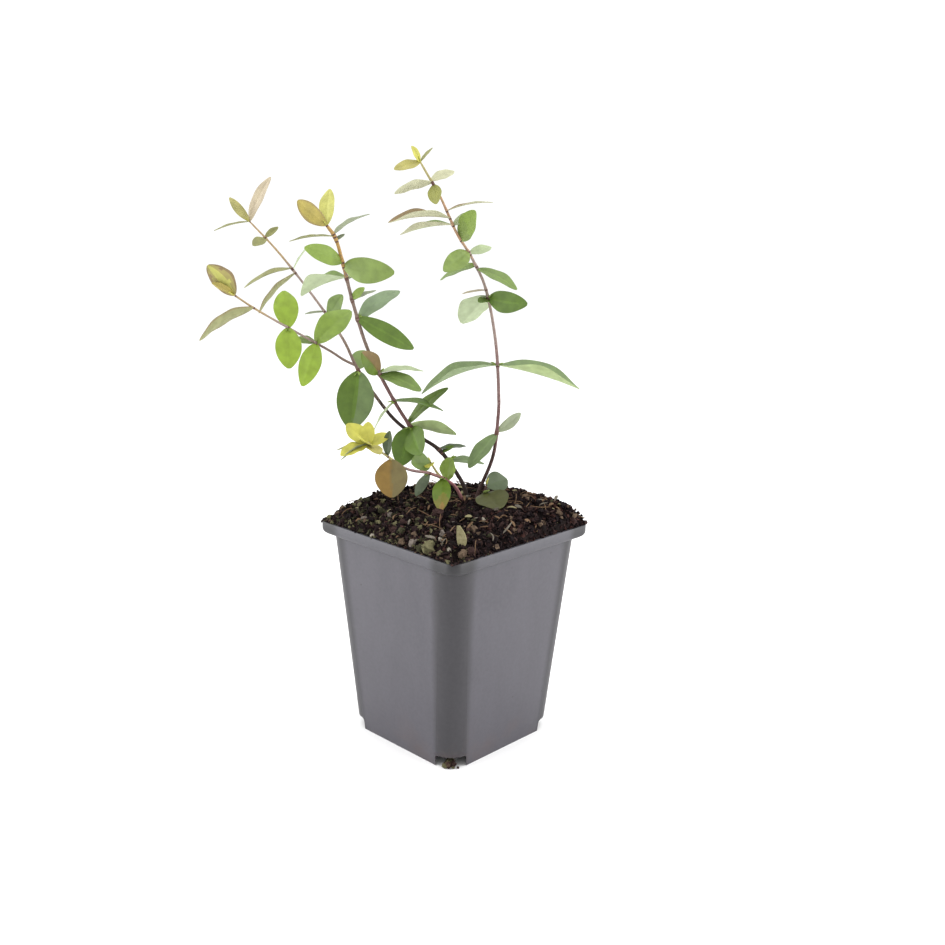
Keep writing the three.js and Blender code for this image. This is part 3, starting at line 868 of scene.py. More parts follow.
def beside_wall(draw, nearest, farthest):
    """A random point of the plan, at a distance inside the outer face of the lip."""
    side = draw.integers(4) * math.pi / 2
    out = LIP_SIDE / 2 - draw.uniform(nearest, farthest)
    along = draw.uniform(-1, 1) * (out - RIM_END)
    return (out * math.cos(side) - along * math.sin(side), out * math.sin(side) + along * math.cos(side))


def place_on_shoulder(draw):
    """A random place on the steep border of the heap."""
    return on_heap(*beside_wall(draw, *SHOULDER_BAND))


def place_on_brink(draw):
    """A random place on the upright border of the heap, between the crest of the lip and the ground."""
    x, y = beside_wall(draw, *BRINK_BAND)
    return np.array([x, y, draw.uniform(RIM_LEVEL, max(POT_HEIGHT, ground_at(x, y)))])


def place_on_rim(draw):
    """A random place on the crest of the lip."""
    return np.array([*beside_wall(draw, *RIM_BAND), RIM_LEVEL])


print("width of the border that is strewn on its own:", round(SHOULDER_BAND[1] - SHOULDER_BAND[0], 1), "mm")

# %% The crumbs
CRUMB_SIZES = (0.3, 1.3)
SHOULDER_SIZES = (0.35, 1.1)
RIM_SIZES = (0.3, 0.8)
CLODS = 420
CLOD_SIZES = (0.9, 1.8)
CLOD_LIFT = (0.0, 0.7)
CRUMB_STRETCH = (0.4, 1.3)
CRUMB_SHARES = (4.2, 3.6, 2.0, 1.3, 0.8, 2.4, 1.5)
MOSS_SHARE = 0.45
MOSS_LEAST = 0.03
MOSS_FADE = 45
RED_LIMIT = 1.2
PATCH_WAVES = ((0.43, 1.1), (0.37, 2.3))
PALE_SHARE = (0.35, 1.3)
HUMMOCKS = [((-34, 12), 9, 150, 1.4), ((-14, -28), 12, 150, 0.9), ((53, 1), 6, 110, 2.0)]
HUMMOCK_LIFT = 0.6
HUMMOCK_SHARES = (0.4, 1.3)
HUMMOCK_EDGE = 1
STREWN = [
    (6400, CRUMB_SIZES, place_on_heap, (0.1, 1.0)),
    (1300, SHOULDER_SIZES, place_on_shoulder, (0.0, 0.8)),
    (1100, SHOULDER_SIZES, place_on_brink, (0.0, 0.3)),
    (300, RIM_SIZES, place_on_rim, (0.0, 0.5)),
]


def crumb_tint(place, draw):
    """The number of a crumb's kind of peat: pale ones in patches, mossy to the left, redder to the right."""
    right = seen_from_corner(place[0], place[1])[0]
    mossy = np.clip(MOSS_SHARE - right / MOSS_FADE, MOSS_LEAST, 1)
    wave_x, wave_y = [math.sin(value * rate + phase) for value, (rate, phase) in zip(place, PATCH_WAVES)]
    pale = PALE_SHARE[0] + PALE_SHARE[1] * (0.5 + 0.5 * wave_x * wave_y)
    weights = np.multiply(CRUMB_SHARES, (1, 1, 1, RED_LIMIT - mossy, pale, mossy, mossy * pale))
    return draw.choice(len(weights), p=weights / weights.sum())


def one_copy(shapes, sizes, place, draw):
    """A copy of a random shape at a place, more often small than large."""
    size = sizes[0] + (sizes[1] - sizes[0]) * draw.random() ** 2
    points, faces = shapes[draw.integers(len(shapes))]
    stretch = draw.uniform(*CRUMB_STRETCH, 3)
    return (points * stretch * size @ random_turn(draw).T + place, faces, crumb_tint(place, draw))


def strewn(count, shapes, sizes, placed, lift):
    """Copies at random places, lifted by a random height."""
    copies = []
    for _ in range(count):
        place = placed(draw)
        place[2] += draw.uniform(*lift) * calm(place[0], place[1])
        copies.append(one_copy(shapes, sizes, place, draw))
    return copies


def hummock(seen, reach, count, height):
    """Copies heaped round a place that is given as it is seen: to the right, and away."""
    copies = []
    middle_x, middle_y = from_seen(*seen)
    for _ in range(count):
        x, y = draw.normal(0, reach / 2, 2)
        rounded = math.exp(-(x * x + y * y) / reach ** 2 * 2)
        lift = height * rounded * draw.uniform(*HUMMOCK_SHARES) + HUMMOCK_LIFT
        inside = BRIM_SIDE / 2 - HUMMOCK_EDGE
        x, y = np.clip((middle_x + x, middle_y + y), -inside, inside)
        copies.append(one_copy(crumb_shapes, CRUMB_SIZES, on_heap(x, y) + (0, 0, lift), draw))
    return copies


copies = []
for count, sizes, placed, lift in STREWN:
    copies += strewn(count, crumb_shapes, sizes, placed, lift)
for values in HUMMOCKS:
    copies += hummock(*values)
crumbs = joined("peat_crumbs", copies, list(peat.values()))
clods = joined("peat_clods", strewn(CLODS, clod_shapes, CLOD_SIZES, place_on_heap, CLOD_LIFT),
               list(peat.values()))
for piece in (crumbs, clods):
    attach(piece, "root")
    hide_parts("compost")
print("triangles of the crumbs:", triangles_of(crumbs), "and of the clods:", triangles_of(clods))

# %% [markdown]
# Compost for shrubs holds shreds of wood and bark and hair-thin roots. They are pale and catch the eye,
# so over a hundred lie among the crumbs, bent slats for the shreds and thin curved rods for the fibres.
# One large shred stands on end near the front corner. Some larger lumps and chips are laid one by one, each
# at its own place: mossy clods at the rim on the left and pale chips in front of the shoots.

# %% Shreds and fibres
STRIP_STEPS = 5
STRIP_END = 0.3
SHREDS = 75
SHRED_LENGTHS = (2, 6.5)
SHRED_BREADTHS = (0.5, 1.6)
SHRED_THICKNESS = 0.35
SHRED_BOWS = (0, 0.8)
SHRED_LIFT = 1.6
SHRED_TILTS = (0.35, 0.6)
SHRED_SHARES = (0.25, 0.45, 0.3)
FIBRES = 55
FIBRE_LENGTHS = (4, 11)
FIBRE_BREADTH = 0.35
FIBRE_THICKNESS = 0.3
FIBRE_BOWS = (-1, 1.4)
FIBRE_LIFT = 1.9
FIBRE_TILTS = (0.3, 0.8)


def bent_strip(length, breadth, thickness, bow, widest=0.5):
    """A closed strip along x that bows up in the middle and narrows to both ends, in millimetres."""
    points, faces = [], []
    for step in range(STRIP_STEPS + 1):
        share = step / STRIP_STEPS
        fullness = math.sin(math.pi * share ** math.log(0.5, widest))
        half = breadth / 2 * (STRIP_END + (1 - STRIP_END) * fullness)
        low = bow * math.sin(math.pi * share)
        high = low + thickness
        x = length * (share - 0.5)
        points += [(x, -half, low), (x, half, low), (x, half, high), (x, -half, high)]
    last = 4 * STRIP_STEPS
    for first in range(0, last, 4):
        for k in range(4):
            after = (k + 1) % 4
            faces.append((first + k, first + after, first + 4 + after, first + 4 + k))
    faces += [(3, 2, 1, 0), (last, last + 1, last + 2, last + 3)]
    return np.array(points), faces


def laid(points, place, heading, tip, roll):
    """Turns a strip by its roll, then its tip and then its heading, and moves it to its place."""
    turn = Matrix.Rotation(heading, 3, "Z") @ Matrix.Rotation(-tip, 3, "Y") @ Matrix.Rotation(roll, 3, "X")
    return points @ np.array(turn).T + np.array(place)


def laid_anyhow(strip, place, tip, roll):
    """The points and faces of a strip on a random heading, tipped and rolled by about the given angles."""
    points, faces = strip
    heading = draw.uniform(0, 2 * math.pi)
    tip = draw.normal(0, tip)
    return laid(points, place, heading, tip, draw.normal(0, roll)), faces


SHRED_LOOKS = {
    "pale wood shred": ("#6b6647", "#8f886a"),
    "brown bark shred": ("#4d3a2b", "#76604a"),
    "weathered wood shred": ("#4f4a41", "#756e64"),
}
PALE_WOOD, BROWN_BARK, WEATHERED_WOOD = range(len(SHRED_LOOKS))
shred_materials = [peat_material(name, *tones, crumb=1.2) for name, tones in SHRED_LOOKS.items()]
copies = []
for _ in range(SHREDS):
    place = place_on_heap(draw) + (0, 0, SHRED_LIFT)
    strip = bent_strip(draw.uniform(*SHRED_LENGTHS), draw.uniform(*SHRED_BREADTHS), SHRED_THICKNESS,
                       draw.uniform(*SHRED_BOWS))
    shred = laid_anyhow(strip, place, *SHRED_TILTS)
    copies.append((*shred, draw.choice(len(SHRED_LOOKS), p=SHRED_SHARES)))
for _ in range(FIBRES):
    place = place_on_heap(draw) + (0, 0, FIBRE_LIFT)
    strip = bent_strip(draw.uniform(*FIBRE_LENGTHS), FIBRE_BREADTH, FIBRE_THICKNESS,
                       draw.uniform(*FIBRE_BOWS))
    copies.append((*laid_anyhow(strip, place, *FIBRE_TILTS), BROWN_BARK))
print("strips so far:", len(copies))

# %% The standing shred and the laid fibres
STANDING = ((2.5, -50), 10.5, 4.6, math.radians(81), math.pi / 2 - 0.45)
STANDING_RISE = 0.42
STANDING_THICKNESS = 0.5
STANDING_BOW = 1.1
STANDING_WIDEST = 0.38
LAID_THICKNESS = 0.45
LAID_BOW = 0.7
LAID_ROLL = 0.9
LAID_LIFT = 1.2
LAID_FIBRES = [
    ((23, -31), 8, 0.8, 0.85, 0.55),
    ((16, -41.5), 3.6, 1.0, 2.0, 0.9),
    ((41, -5), 5, 0.6, 5.6, 0.5),
]

seen, length, breadth, tip, roll = STANDING
points, faces = bent_strip(length, breadth, STANDING_THICKNESS, STANDING_BOW, STANDING_WIDEST)
place = on_heap(*from_seen(*seen)) + (0, 0, length * STANDING_RISE)
copies.append((laid(points, place, 5 * EIGHTH_TURN, tip, roll), faces, PALE_WOOD))
for seen, length, breadth, heading, tip in LAID_FIBRES:
    points, faces = bent_strip(length, breadth, LAID_THICKNESS, LAID_BOW)
    place = on_heap(*from_seen(*seen)) + (0, 0, LAID_LIFT + length * math.sin(tip) / 3)
    copies.append((laid(points, place, heading + EIGHTH_TURN, tip, LAID_ROLL), faces, WEATHERED_WOOD))
shreds = joined("wood_shreds", copies, shred_materials)
smooth_piece(shreds, 40)
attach(shreds, "root")
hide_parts("compost")
print("shreds and fibres:", triangles_of(shreds), "triangles")

# %% The laid chips and clods
CHIPS = [
    (-11, -47.8, 2.7, "pale moss"), (-14, -45.5, 1.7, "dead moss"), (-17.9, -41.6, 1.5, "weathered chip"),
    (-17.2, -36.6, 1.0, "composted bark"), (-4.8, -39.7, 1.4, "weathered chip"),
    (-6, -44, 0.9, "white chip"), (-2, -51.2, 0.9, "white chip"), (-5.8, -51.3, 1.1, "pale moss"),
    (3.5, -53, 1.6, "composted bark"), (12.8, -23.7, 0.9, "white chip"),
    (-0.5, -24.8, 0.9, "weathered chip"), (-36.3, -25, 0.9, "white chip"), (-34, -20, 1.2, "pale moss"),
    (-29, -15.5, 1.1, "weathered chip"), (-22.6, -37.3, 1.2, "composted bark"),
    (-23.3, -32, 1.3, "dead moss"), (-41, -13.5, 1.3, "weathered chip"), (-14.9, -33, 1.1, "pale moss"),
    (-26, -25, 1.2, "pale moss"), (6.9, -52, 1.4, "peat brown"), (20.7, -14, 1.2, "peat red brown"),
    (48, -8.5, 1.2, "composted bark"), (38.6, -20.5, 1.0, "composted bark"), (55, -6, 1.3, "peat brown"),
]
CHIP_STRETCH = (0.75, 1.15)
CHIP_LIFT = 0.3
CHIP_LOOKS = {"weathered chip": ("#4d4641", "#776e67"), "white chip": ("#736d62", "#9c9588")}
for name, tones in CHIP_LOOKS.items():
    peat[name] = peat_material(name, *tones, crumb=1.0)
order = list(peat)
copies = []
for right, away, size, name in CHIPS:
    points, faces = clod_shapes[draw.integers(CLOD_SHAPES)]
    points = points * draw.uniform(*CHIP_STRETCH, 3) * size @ random_turn(draw).T
    place = on_heap(*from_seen(right, away)) + (0, 0, CHIP_LIFT + size / 2)
    copies.append((points + place, faces, order.index(name)))
chips = joined("laid_chips", copies, list(peat.values()))
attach(chips, "root")
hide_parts("compost")
print("laid chips:", len(CHIPS))

# %% Crumbs in the front drain slot
DRAIN_CRUMBS = 34
DRAIN_SIZES = (0.4, 1.0)
DRAIN_KINDS = ["peat brown", "composted bark", "dead moss", "pale moss", "pale moss"]
DRAIN_REST = 0.9
PILE_DEPTH = (-1.0, 5)
PILE_ASIDE = -0.4
PILE_SPREAD = 1.3
PILE_HEIGHT = 3.4
PILE_SLOPE = 1.2
PILE_EDGE = 0.3
copies = []
for _ in range(DRAIN_CRUMBS):
    out = CORNER_OUT - draw.uniform(*PILE_DEPTH)
    aside = draw.normal(PILE_ASIDE, PILE_SPREAD)
    size = draw.uniform(*DRAIN_SIZES)
    points, faces = clod_shapes[draw.integers(CLOD_SHAPES)]
    lift = draw.uniform(0, max(PILE_EDGE, PILE_HEIGHT - abs(aside) * PILE_SLOPE))
    place = (*from_seen(aside, -out), size * DRAIN_REST + lift)
    points = points * size @ random_turn(draw).T + place
    copies.append((points, faces, order.index(draw.choice(DRAIN_KINDS))))
drain = joined("drain_crumbs", copies, list(peat.values()))
lowest = min(point.co.z for point in drain.data.vertices)
for point in drain.data.vertices:
    point.co.z = max(point.co.z, 0.0)
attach(drain, "root")
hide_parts("compost")
print("crumbs in the drain:", DRAIN_CRUMBS, "lowest was", round(lowest / MM, 2), "mm")

# %% [markdown]
# The shrub is four arching shoots, a low one, a small twig and a pair of leaves at the foot. The table is
# the source's own: for each shoot the points of its route, its radius at both ends, and each leaf by the
# distance along the route where it stands, its bearing (0 right, 90 away), its rise, its length, the turn
# of its blade about its rib, and its kind. Two things are added here: the colours that the bark takes
# along the way, each from its distance on, and the tint of every leaf. A leaf may also have a blush, a
# second tint on its tip, its base, its edge or one half.

# %% Shoots and leaves
FOOT_LEVEL = CROWN_LEVEL + GAP
LEAF_KINDS = {
    "oval": (0.43, 1.2, 0.16), "round": (0.62, 1.1, 0.16), "broad": (0.85, 0.9, 0.16),
    "narrow": (0.3, 1.2, 0.16), "long": (0.42, 0.4, 0.6), "arched": (0.4, 0.95, 0.5),
    "folded": (0.62, 1.0, 0.65)}
SHOOTS = {
    "right": {
        "route": [
            (10, 11, FOOT_LEVEL), (12, 13, 116), (18, 17, 131), (20, 20, 149), (20, 20, 161), (18, 19, 185),
            (13, 16, 209), (6, 12, 224), (-1, 9, 235), (-8, 5, 250), (-14, 2, 260), (-17, 0, 265)],
        "radius": (0.92, 0.5),
        "bark": [(0, "umber"), (26, "claret"), (48, "dusky rose"), (76, "pale rose"), (122, "pale orange"),
                 (152, "straw")],
        "leaves": [
            (33, 214, -43, 21.5, 14, "oval", "teal"),
            (34, 45, 22, 18, -70, "narrow", "grey"),
            (66, 186, -21, 38, 0, "arched", "teal"),
            (66, 357, -15, 40, 0, "long", "sage", "teal", "left"),
            (97.5, 235, -5, 8, 20, "round", "deep"),
            (98, 318, -2, 23, -83, "oval", "deep"),
            (99, 155, -46, 18.5, -30, "broad", "pale"),
            (102, 178, -10, 11, 7, "narrow", "rose"),
            (113, 338, -24, 21, -18, "oval", "green"),
            (114.5, 145, -21, 21, 30, "oval", "green"),
            (122, 236, -22, 20.5, 41, "oval", "apple"),
            (121, 32, 12, 12, -40, "oval", "pale"),
            (128, 305, 52, 17, -100, "round", "fresh", "apple", "base"),
            (136, 30, 24, 13, -30, "oval", "pale"),
            (143, 20, 10, 22, 3, "narrow", "cream", "bronze", "left"),
            (136.3, 168, -12, 24.5, 0, "arched", "cream", "green", "right"),
            (139.5, 205, -4, 29, 0, "arched", "cream", "bronze", "right"),
            (156, 282, -50, 10.5, -32, "round", "citron"),
            (158, 40, 18, 13.5, -30, "oval", "cream"),
            (157, 195, -16, 17.5, -35, "oval", "ivory"),
            (168, 210, -15, 13, 40, "oval", "gold"),
            (168, 230, 49, 8.5, 87, "oval", "yellow"),
            (168, 35, 44, 8.7, -4, "narrow", "olive")],
    },
    "left": {
        "route": [
            (6, 14, FOOT_LEVEL), (3, 14.5, 119), (-7, 15.5, 133), (-18, 17, 140), (-25.5, 17.5, 144.5),
            (-33.5, 19, 152.5), (-46, 22, 169.7), (-54, 25, 185), (-68, 29, 204), (-84, 34, 223),
            (-98, 38, 237)],
        "radius": (1.05, 0.42),
        "bark": [(0, "black brown"), (64, "russet"), (98, "pale rose"), (140, "warm tan")],
        "leaves": [
            (20, 25, -9, 19, -12, "oval", "teal"),
            (25.5, 345, 30, 7, -45, "oval", "deep"),
            (27.5, 14, 4, 13.5, -9, "oval", "slate"),
            (81, 255, -67, 28, 20, "round", "forest", "teal", "left"),
            (82, 80, 27, 15, -13, "round", "green"),
            (110, 325, 50, 14, -85, "round", "green"),
            (113, 175, -8, 9.5, 15, "narrow", "grey"),
            (137.5, 25, 55, 12.5, 20, "narrow", "pale"),
            (138.5, 183, -23, 24, 8, "oval", "olive"),
            (135.5, 200, -46, 25.5, -30, "narrow", "olive", "bronze", "edge"),
            (157, 235, -20, 9, 30, "round", "olive"),
            (157.5, 21, 37, 8, -46, "oval", "olive"),
            (168, 188, -15, 17, 3, "narrow", "olive"),
            (168.5, 351, 62, 23, -60, "narrow", "rose"),
            (168.5, 215, 48, 14.5, -70, "narrow", "gold")],
    },
    "middle": {
        "parent": "left",
        "route": [
            (-18, 17, 140), (-22, 15, 146), (-29, 12, 158), (-40, 7, 181), (-46, 3, 201), (-49, 0, 214),
            (-53, -4, 231), (-57, -7, 238)],
        "radius": (0.8, 0.72),
        "bark": [(0, "claret"), (34, "russet"), (86, "orange tan")],
        "leaves": [
            (5.5, 288, -28, 19.5, -48, "round", "forest"),
            (6, 250, -52, 20.5, 20, "round", "deep"),
            (7, 357, -10, 22.5, 45, "oval", "sage"),
            (8, 13, 41, 25, -25, "narrow", "green"),
            (21, 230, -40, 18, -50, "narrow", "pale"),
            (21.5, 4, -12, 23.5, -4, "oval", "deep"),
            (36, 345, -18, 21, -29, "oval", "green"),
            (37, 15, 0, 21, -5, "oval", "pale"),
            (36.5, 230, 44, 15.5, 95, "round", "bronze", "fern", "left"),
            (63.5, 35, 29, 25, -18, "oval", "celadon"),
            (64, 10, -35, 12, 45, "oval", "pale"),
            (65, 3, -29, 29, -85, "narrow", "forest"),
            (73, 25, 20, 12, -5, "oval", "grey"),
            (74, 325, 35, 9, -90, "oval", "fresh"),
            (83, 30, 30, 8.5, -10, "round", "pale"),
            (84, 160, -23, 24, 0, "folded", "pale", "green", "right"),
            (89, 332, -3, 26, -88, "oval", "apple"),
            (91, 217, 19, 20, 69, "oval", "fresh"),
            (101, 55, 25, 6, -10, "oval", "grey"),
            (103, 186, -7, 19.5, -3, "oval", "olive"),
            (104, 35, 25, 20, 5, "oval", "grey"),
            (109, 222, 35, 18, -85, "oval", "mustard", "bronze", "edge"),
            (109, 83, 66, 16.5, 8, "oval", "butter")],
    },
    "side": {
        "parent": "left",
        "route": [
            (-48.3, 22.5, 172.6), (-52.5, 18, 175.5), (-57, 14, 179.3), (-62, 10, 183), (-75, 1, 192),
            (-88, -7, 201), (-97, -12, 208)],
        "radius": (0.6, 0.4),
        "bark": [(0, "russet"), (26, "pale rose"), (50, "warm tan")],
        "leaves": [
            (24, 251, -48, 23, 35, "oval", "lime"),
            (24.5, 32, 38, 22.5, -31, "round", "fresh"),
            (25, 170, 10, 9, 30, "round", "green"),
            (40, 110, 60, 18, 10, "round", "lime"),
            (40.5, 280, -65, 19, -5, "round", "lime"),
            (59, 222, -24, 29.5, -50, "narrow", "olive", "bronze", "edge"),
            (69, 198, 50, 17, -60, "round", "bronze", "yellow", "middle"),
            (69, 195, 30, 11, -40, "oval", "mustard")],
    },
    "low": {
        "route": [
            (4, 9, FOOT_LEVEL), (-1, 6, 119.5), (-11, 0, 126), (-22, -7, 130), (-32, -12, 138),
            (-40, -16, 144)],
        "radius": (0.8, 0.45),
        "bark": [(0, "pink red"), (24, "dusky rose"), (42, "straw")],
        "leaves": [
            (14.5, 41, 80, 11, -10, "broad", "fresh"),
            (17, 268, -33, 20, -5, "oval", "fern", "amber", "tip"),
            (25, 187, -60, 12.5, -75, "oval", "slate"),
            (47, 276, -66, 17.5, -8, "broad", "amber", "khaki", "left"),
            (49.5, 320, 82, 12, -95, "oval", "slate"),
            (59.5, 40, 20, 11.5, -20, "round", "yellow"),
            (61, 165, -15, 15, 10, "narrow", "olive"),
            (61, 220, -20, 15, -45, "narrow", "grey"),
            (61, 150, 35, 13.5, 35, "round", "yellow"),
            (61, 215, -15, 14, 15, "round", "yellow"),
            (60, 300, -10, 11, 0, "round", "gold"),
            (60.5, 95, 60, 10.5, 10, "round", "yellow"),
            (60.5, 255, 25, 10, 30, "broad", "yellow")],
    },
    "twig": {
        "parent": "low",
        "route": [(-6, 3, 123), (-8.8, 4.5, 126), (-11.5, 6, 130)],
        "radius": (0.65, 0.45),
        "bark": [(0, "straw")],
        "leaves": [
            (9, 215, 8, 11, 55, "broad", "green"),
            (9, 265, 0, 8.5, -20, "round", "yellow")],
    },
    "foot": {
        "route": [(14.5, 8.5, FOOT_LEVEL), (14, 8.5, 115), (15, 9, 119)],
        "radius": (0.6, 0.45),
        "bark": [(0, "umber")],
        "leaves": [(4, 293, -8, 18.5, -14, "broad", "moss"), (7.5, 36, 6, 12.7, -45, "broad", "slate")],
    },
}
print("leaves in the table:", sum(len(shoot["leaves"]) for shoot in SHOOTS.values()))

# %% [markdown]
# A route becomes a curve by the source's rule, a Catmull-Rom curve whose ends are carried straight on.
# It is sampled closely once, and any distance along it is then found between two samples.

# %% The curve of a shoot
SPAN_STEPS = 40


def curve_of(shoot):
    """Closely spaced points of a shoot, and the distance of each from the foot, in millimetres."""
    points = np.array(shoot["route"], dtype=float)
    carried_on = np.vstack([2 * points[0] - points[1], points, 2 * points[-1] - points[-2]])
    share = (np.arange(SPAN_STEPS) / SPAN_STEPS)[:, None]
    line = []
    for before, start, end, after in zip(carried_on, carried_on[1:], carried_on[2:], carried_on[3:]):
        leaving = (end - before) / 2
        arriving = (after - start) / 2
        square = 3 * (end - start) - 2 * leaving - arriving
        cube = 2 * (start - end) + leaving + arriving
        line.append(start + leaving * share + square * share ** 2 + cube * share ** 3)
    line = np.vstack([*line, points[-1:]])
    run = np.concatenate([[0], np.cumsum(np.linalg.norm(np.diff(line, axis=0), axis=1))])
    return line, run


def point_at(curve, at):
    """The places at some distances along a curve."""
    line, run = curve
    return np.stack([np.interp(at, run, line[:, axis]) for axis in range(3)], axis=-1)


def on_pot(points):
    """Turns points from the shoots' frame onto the pot, by an eighth of a turn."""
    x, y, z = np.asarray(points, dtype=float).T
    return np.column_stack([*from_seen(x, y), z])


curves = {name: curve_of(shoot) for name, shoot in SHOOTS.items()}
print("lengths in mm:", {name: round(float(curve[1][-1])) for name, curve in curves.items()})

# %% [markdown]
# A young St John's wort stem is not a plain rod. It has raised lines between the leaf pairs, swells at
# each pair, and on old wood the bark cracks into thin flakes. By hand that is a curve with a ridged
# section drawn along it, thicker at the nodes, turned into a mesh and then roughened by two displace
# modifiers. Its foot is sunk a little into the compost, and its tip narrows to the last pair of leaves.

# %% The stems
SECTION_POINTS = 16
SECTION_RIDGES = 4
RIDGE_HEIGHT = 0.1
STEM_STEP = 0.7
SUNK = 2.5
NODE_SWELL = 0.38
NODE_REACH = 1.1
TIP_TAPER = 3.0
TIP_BEYOND = 0.6
TIP_NARROWEST = 0.35
BARK_RELIEF = [("bark flakes", 1.6, 0.16), ("bark grain", 0.45, 0.08)]


def new_curve(name, flat):
    """An object of one straight-spanned curve, and the curve's spline."""
    data = bpy.data.curves.new(name, "CURVE")
    data.dimensions = "2D" if flat else "3D"
    curve = bpy.data.objects.new(name, data)
    bpy.context.scene.collection.objects.link(curve)
    return curve, data.splines.new("POLY")


def ridged_section():
    """The section that is drawn along every stem: a round of one millimetre with raised lines."""
    section, spline = new_curve("section", True)
    spline.points.add(SECTION_POINTS - 1)
    for k, point in enumerate(spline.points):
        angle = 2 * math.pi * k / SECTION_POINTS
        radius = MM * (1 + RIDGE_HEIGHT * max(0, math.cos(SECTION_RIDGES * angle)))
        point.co = (radius * math.cos(angle), radius * math.sin(angle), 0, 1)
    spline.use_cyclic_u = True
    return section


def stem_radius(shoot, curve, at):
    """The radius along a shoot: its taper, a swelling at each pair of leaves, and a narrowed tip."""
    length = curve[1][-1]
    foot, tip = shoot["radius"]
    radius = foot + (tip - foot) * np.clip(at / length, 0, 1)
    for leaf in shoot["leaves"]:
        radius = radius * (1 + NODE_SWELL / 2 * np.exp(-((at - leaf[0]) / NODE_REACH) ** 2))
    return radius * np.clip((length + TIP_BEYOND - at) / TIP_TAPER, TIP_NARROWEST, 1) ** 0.5


def stem_curve(name, section):
    """A shoot as a Blender curve, a point every step, with its radius from point to point."""
    shoot, curve = SHOOTS[name], curves[name]
    count = int(curve[1][-1] / STEM_STEP) + 1
    at = np.linspace(0, curve[1][-1], count)
    places = point_at(curve, at)
    if "parent" not in shoot:
        places = np.vstack([places[0] + (0, 0, -SUNK), places])
        at = np.concatenate([[0], at])
    stem, spline = new_curve(f"{name}_shoot_bark", False)
    stem.data.bevel_mode = "OBJECT"
    stem.data.bevel_object = section
    stem.data.use_fill_caps = True
    spline.points.add(len(places) - 1)
    spline.points.foreach_set("co", np.column_stack([on_pot(places) * MM, np.ones(len(places))]).ravel())
    spline.points.foreach_set("radius", stem_radius(shoot, curve, at))
    select_only(stem)
    bpy.ops.object.convert(target="MESH")
    return bpy.context.object


section = ridged_section()
stems = {name: stem_curve(name, section) for name in SHOOTS}
bpy.data.objects.remove(section)
for name, size, height in BARK_RELIEF:
    texture = bpy.data.textures.new(name, "CLOUDS")
    for stem in stems.values():
        add_relief(stem, texture, size, height)
for stem in stems.values():
    apply_modifiers(stem)
    smooth_piece(stem, 70)
print("stems:", {name: triangles_of(stem) for name, stem in stems.items()}, "triangles")

# %% [markdown]
# Young bark is red where the sun meets it, and browns as it turns to wood. Each stretch of a stem has a
# plain colour of its own, and each face looks up the colour for its distance from the foot. A random
# step to and fro softens the change from one colour to the next, as the mottling of real bark does.

# %% The bark's colours
BARK = {
    "black brown": ("#241b19", "#3c2f2a"),
    "umber": ("#301f1c", "#4b3733"),
    "claret": ("#563e3e", "#735655"),
    "dusky rose": ("#6f5856", "#8d7370"),
    "pale rose": ("#7b6b66", "#9a8981"),
    "pink red": ("#7b5052", "#9c6f6e"),
    "russet": ("#60504a", "#7f6d62"),
    "warm tan": ("#8b7657", "#aa9473"),
    "orange tan": ("#90703f", "#ac8b58"),
    "pale orange": ("#98785c", "#b5947a"),
    "straw": ("#8b8258", "#a59d6e"),
    "node scar": ("#4a342f", "#6a4d45"),
}
BARK_MIX = 3.5
BARK_GRAIN = 1.1
BARK_DEPTH = 0.1
BARK_MOTTLE = (0.3, 0.72)
SCAR_REACH = 0.35
SCAR_BEYOND = 0.3


def bark_material(name, dark, light):
    """Young bark: thin, faintly glossy skin over a fine fissured grain."""
    material, tree = new_material(f"{name} bark")
    place = add_node(tree, "ShaderNodeTexCoord").outputs["Object"]
    grain = add_node(tree, "ShaderNodeTexNoise",
                     {"Scale": 1 / (BARK_GRAIN * MM), "Detail": 5.0, "Roughness": 0.65}, {"Vector": place})
    colour = add_node(tree, "ShaderNodeValToRGB", None, {"Fac": grain.outputs["Fac"]},
                      zip(BARK_MOTTLE, (dark, light)))
    fissures = add_node(tree, "ShaderNodeBump", {"Strength": 0.5, "Distance": BARK_DEPTH * MM},
                        {"Height": grain.outputs["Fac"]})
    skin = add_node(tree, "ShaderNodeBsdfPrincipled", {"Roughness": 0.65, "Specular IOR Level": 0.2},
                    {"Base Color": colour.outputs["Color"], "Normal": fissures.outputs["Normal"]})
    add_node(tree, "ShaderNodeOutputMaterial", None, {"Surface": skin.outputs["BSDF"]})
    return material


bark = {name: bark_material(name, *tones) for name, tones in BARK.items()}
bark_draw = np.random.default_rng(11)
for name, stem in stems.items():
    shoot = SHOOTS[name]
    line, run = curves[name]
    line = on_pot(line)
    middles = np.array([face.center for face in stem.data.polygons]) / MM
    nearest = np.linalg.norm(middles[:, None] - line[None], axis=2).argmin(axis=1)
    at = run[nearest]
    mixed = at + bark_draw.normal(0, BARK_MIX, len(at))
    starts, used = zip(*shoot["bark"])
    stretch = np.clip(np.searchsorted(starts, mixed, side="right") - 1, 0, None)
    for leaf in shoot["leaves"]:
        stretch[np.abs(at - leaf[0] + SCAR_BEYOND) < SCAR_REACH] = len(used)
    stem.data.materials.clear()
    for tint in (*used, "node scar"):
        stem.data.materials.append(bark[tint])
    stem.data.polygons.foreach_set("material_index", stretch.astype(int))
    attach(stem, "root")
print("barks:", len(bark))

# %% [markdown]
# A leaf of this shrub is a thin oval blade with hardly any stalk. Its rib is an arc that bends back, and
# the two halves stand up from it, on some kinds so far that the blade is a trough. Its edges ripple, and
# faint side veins run out from the rib. The blade is worked out by the source's rule from the same row of
# the table, with a finer outline, a rib that is grooved above and stands out below, and a thickness of a
# third of a millimetre. Over eighty such leaves are more than a hand should model, so a function builds
# each as an array of points.

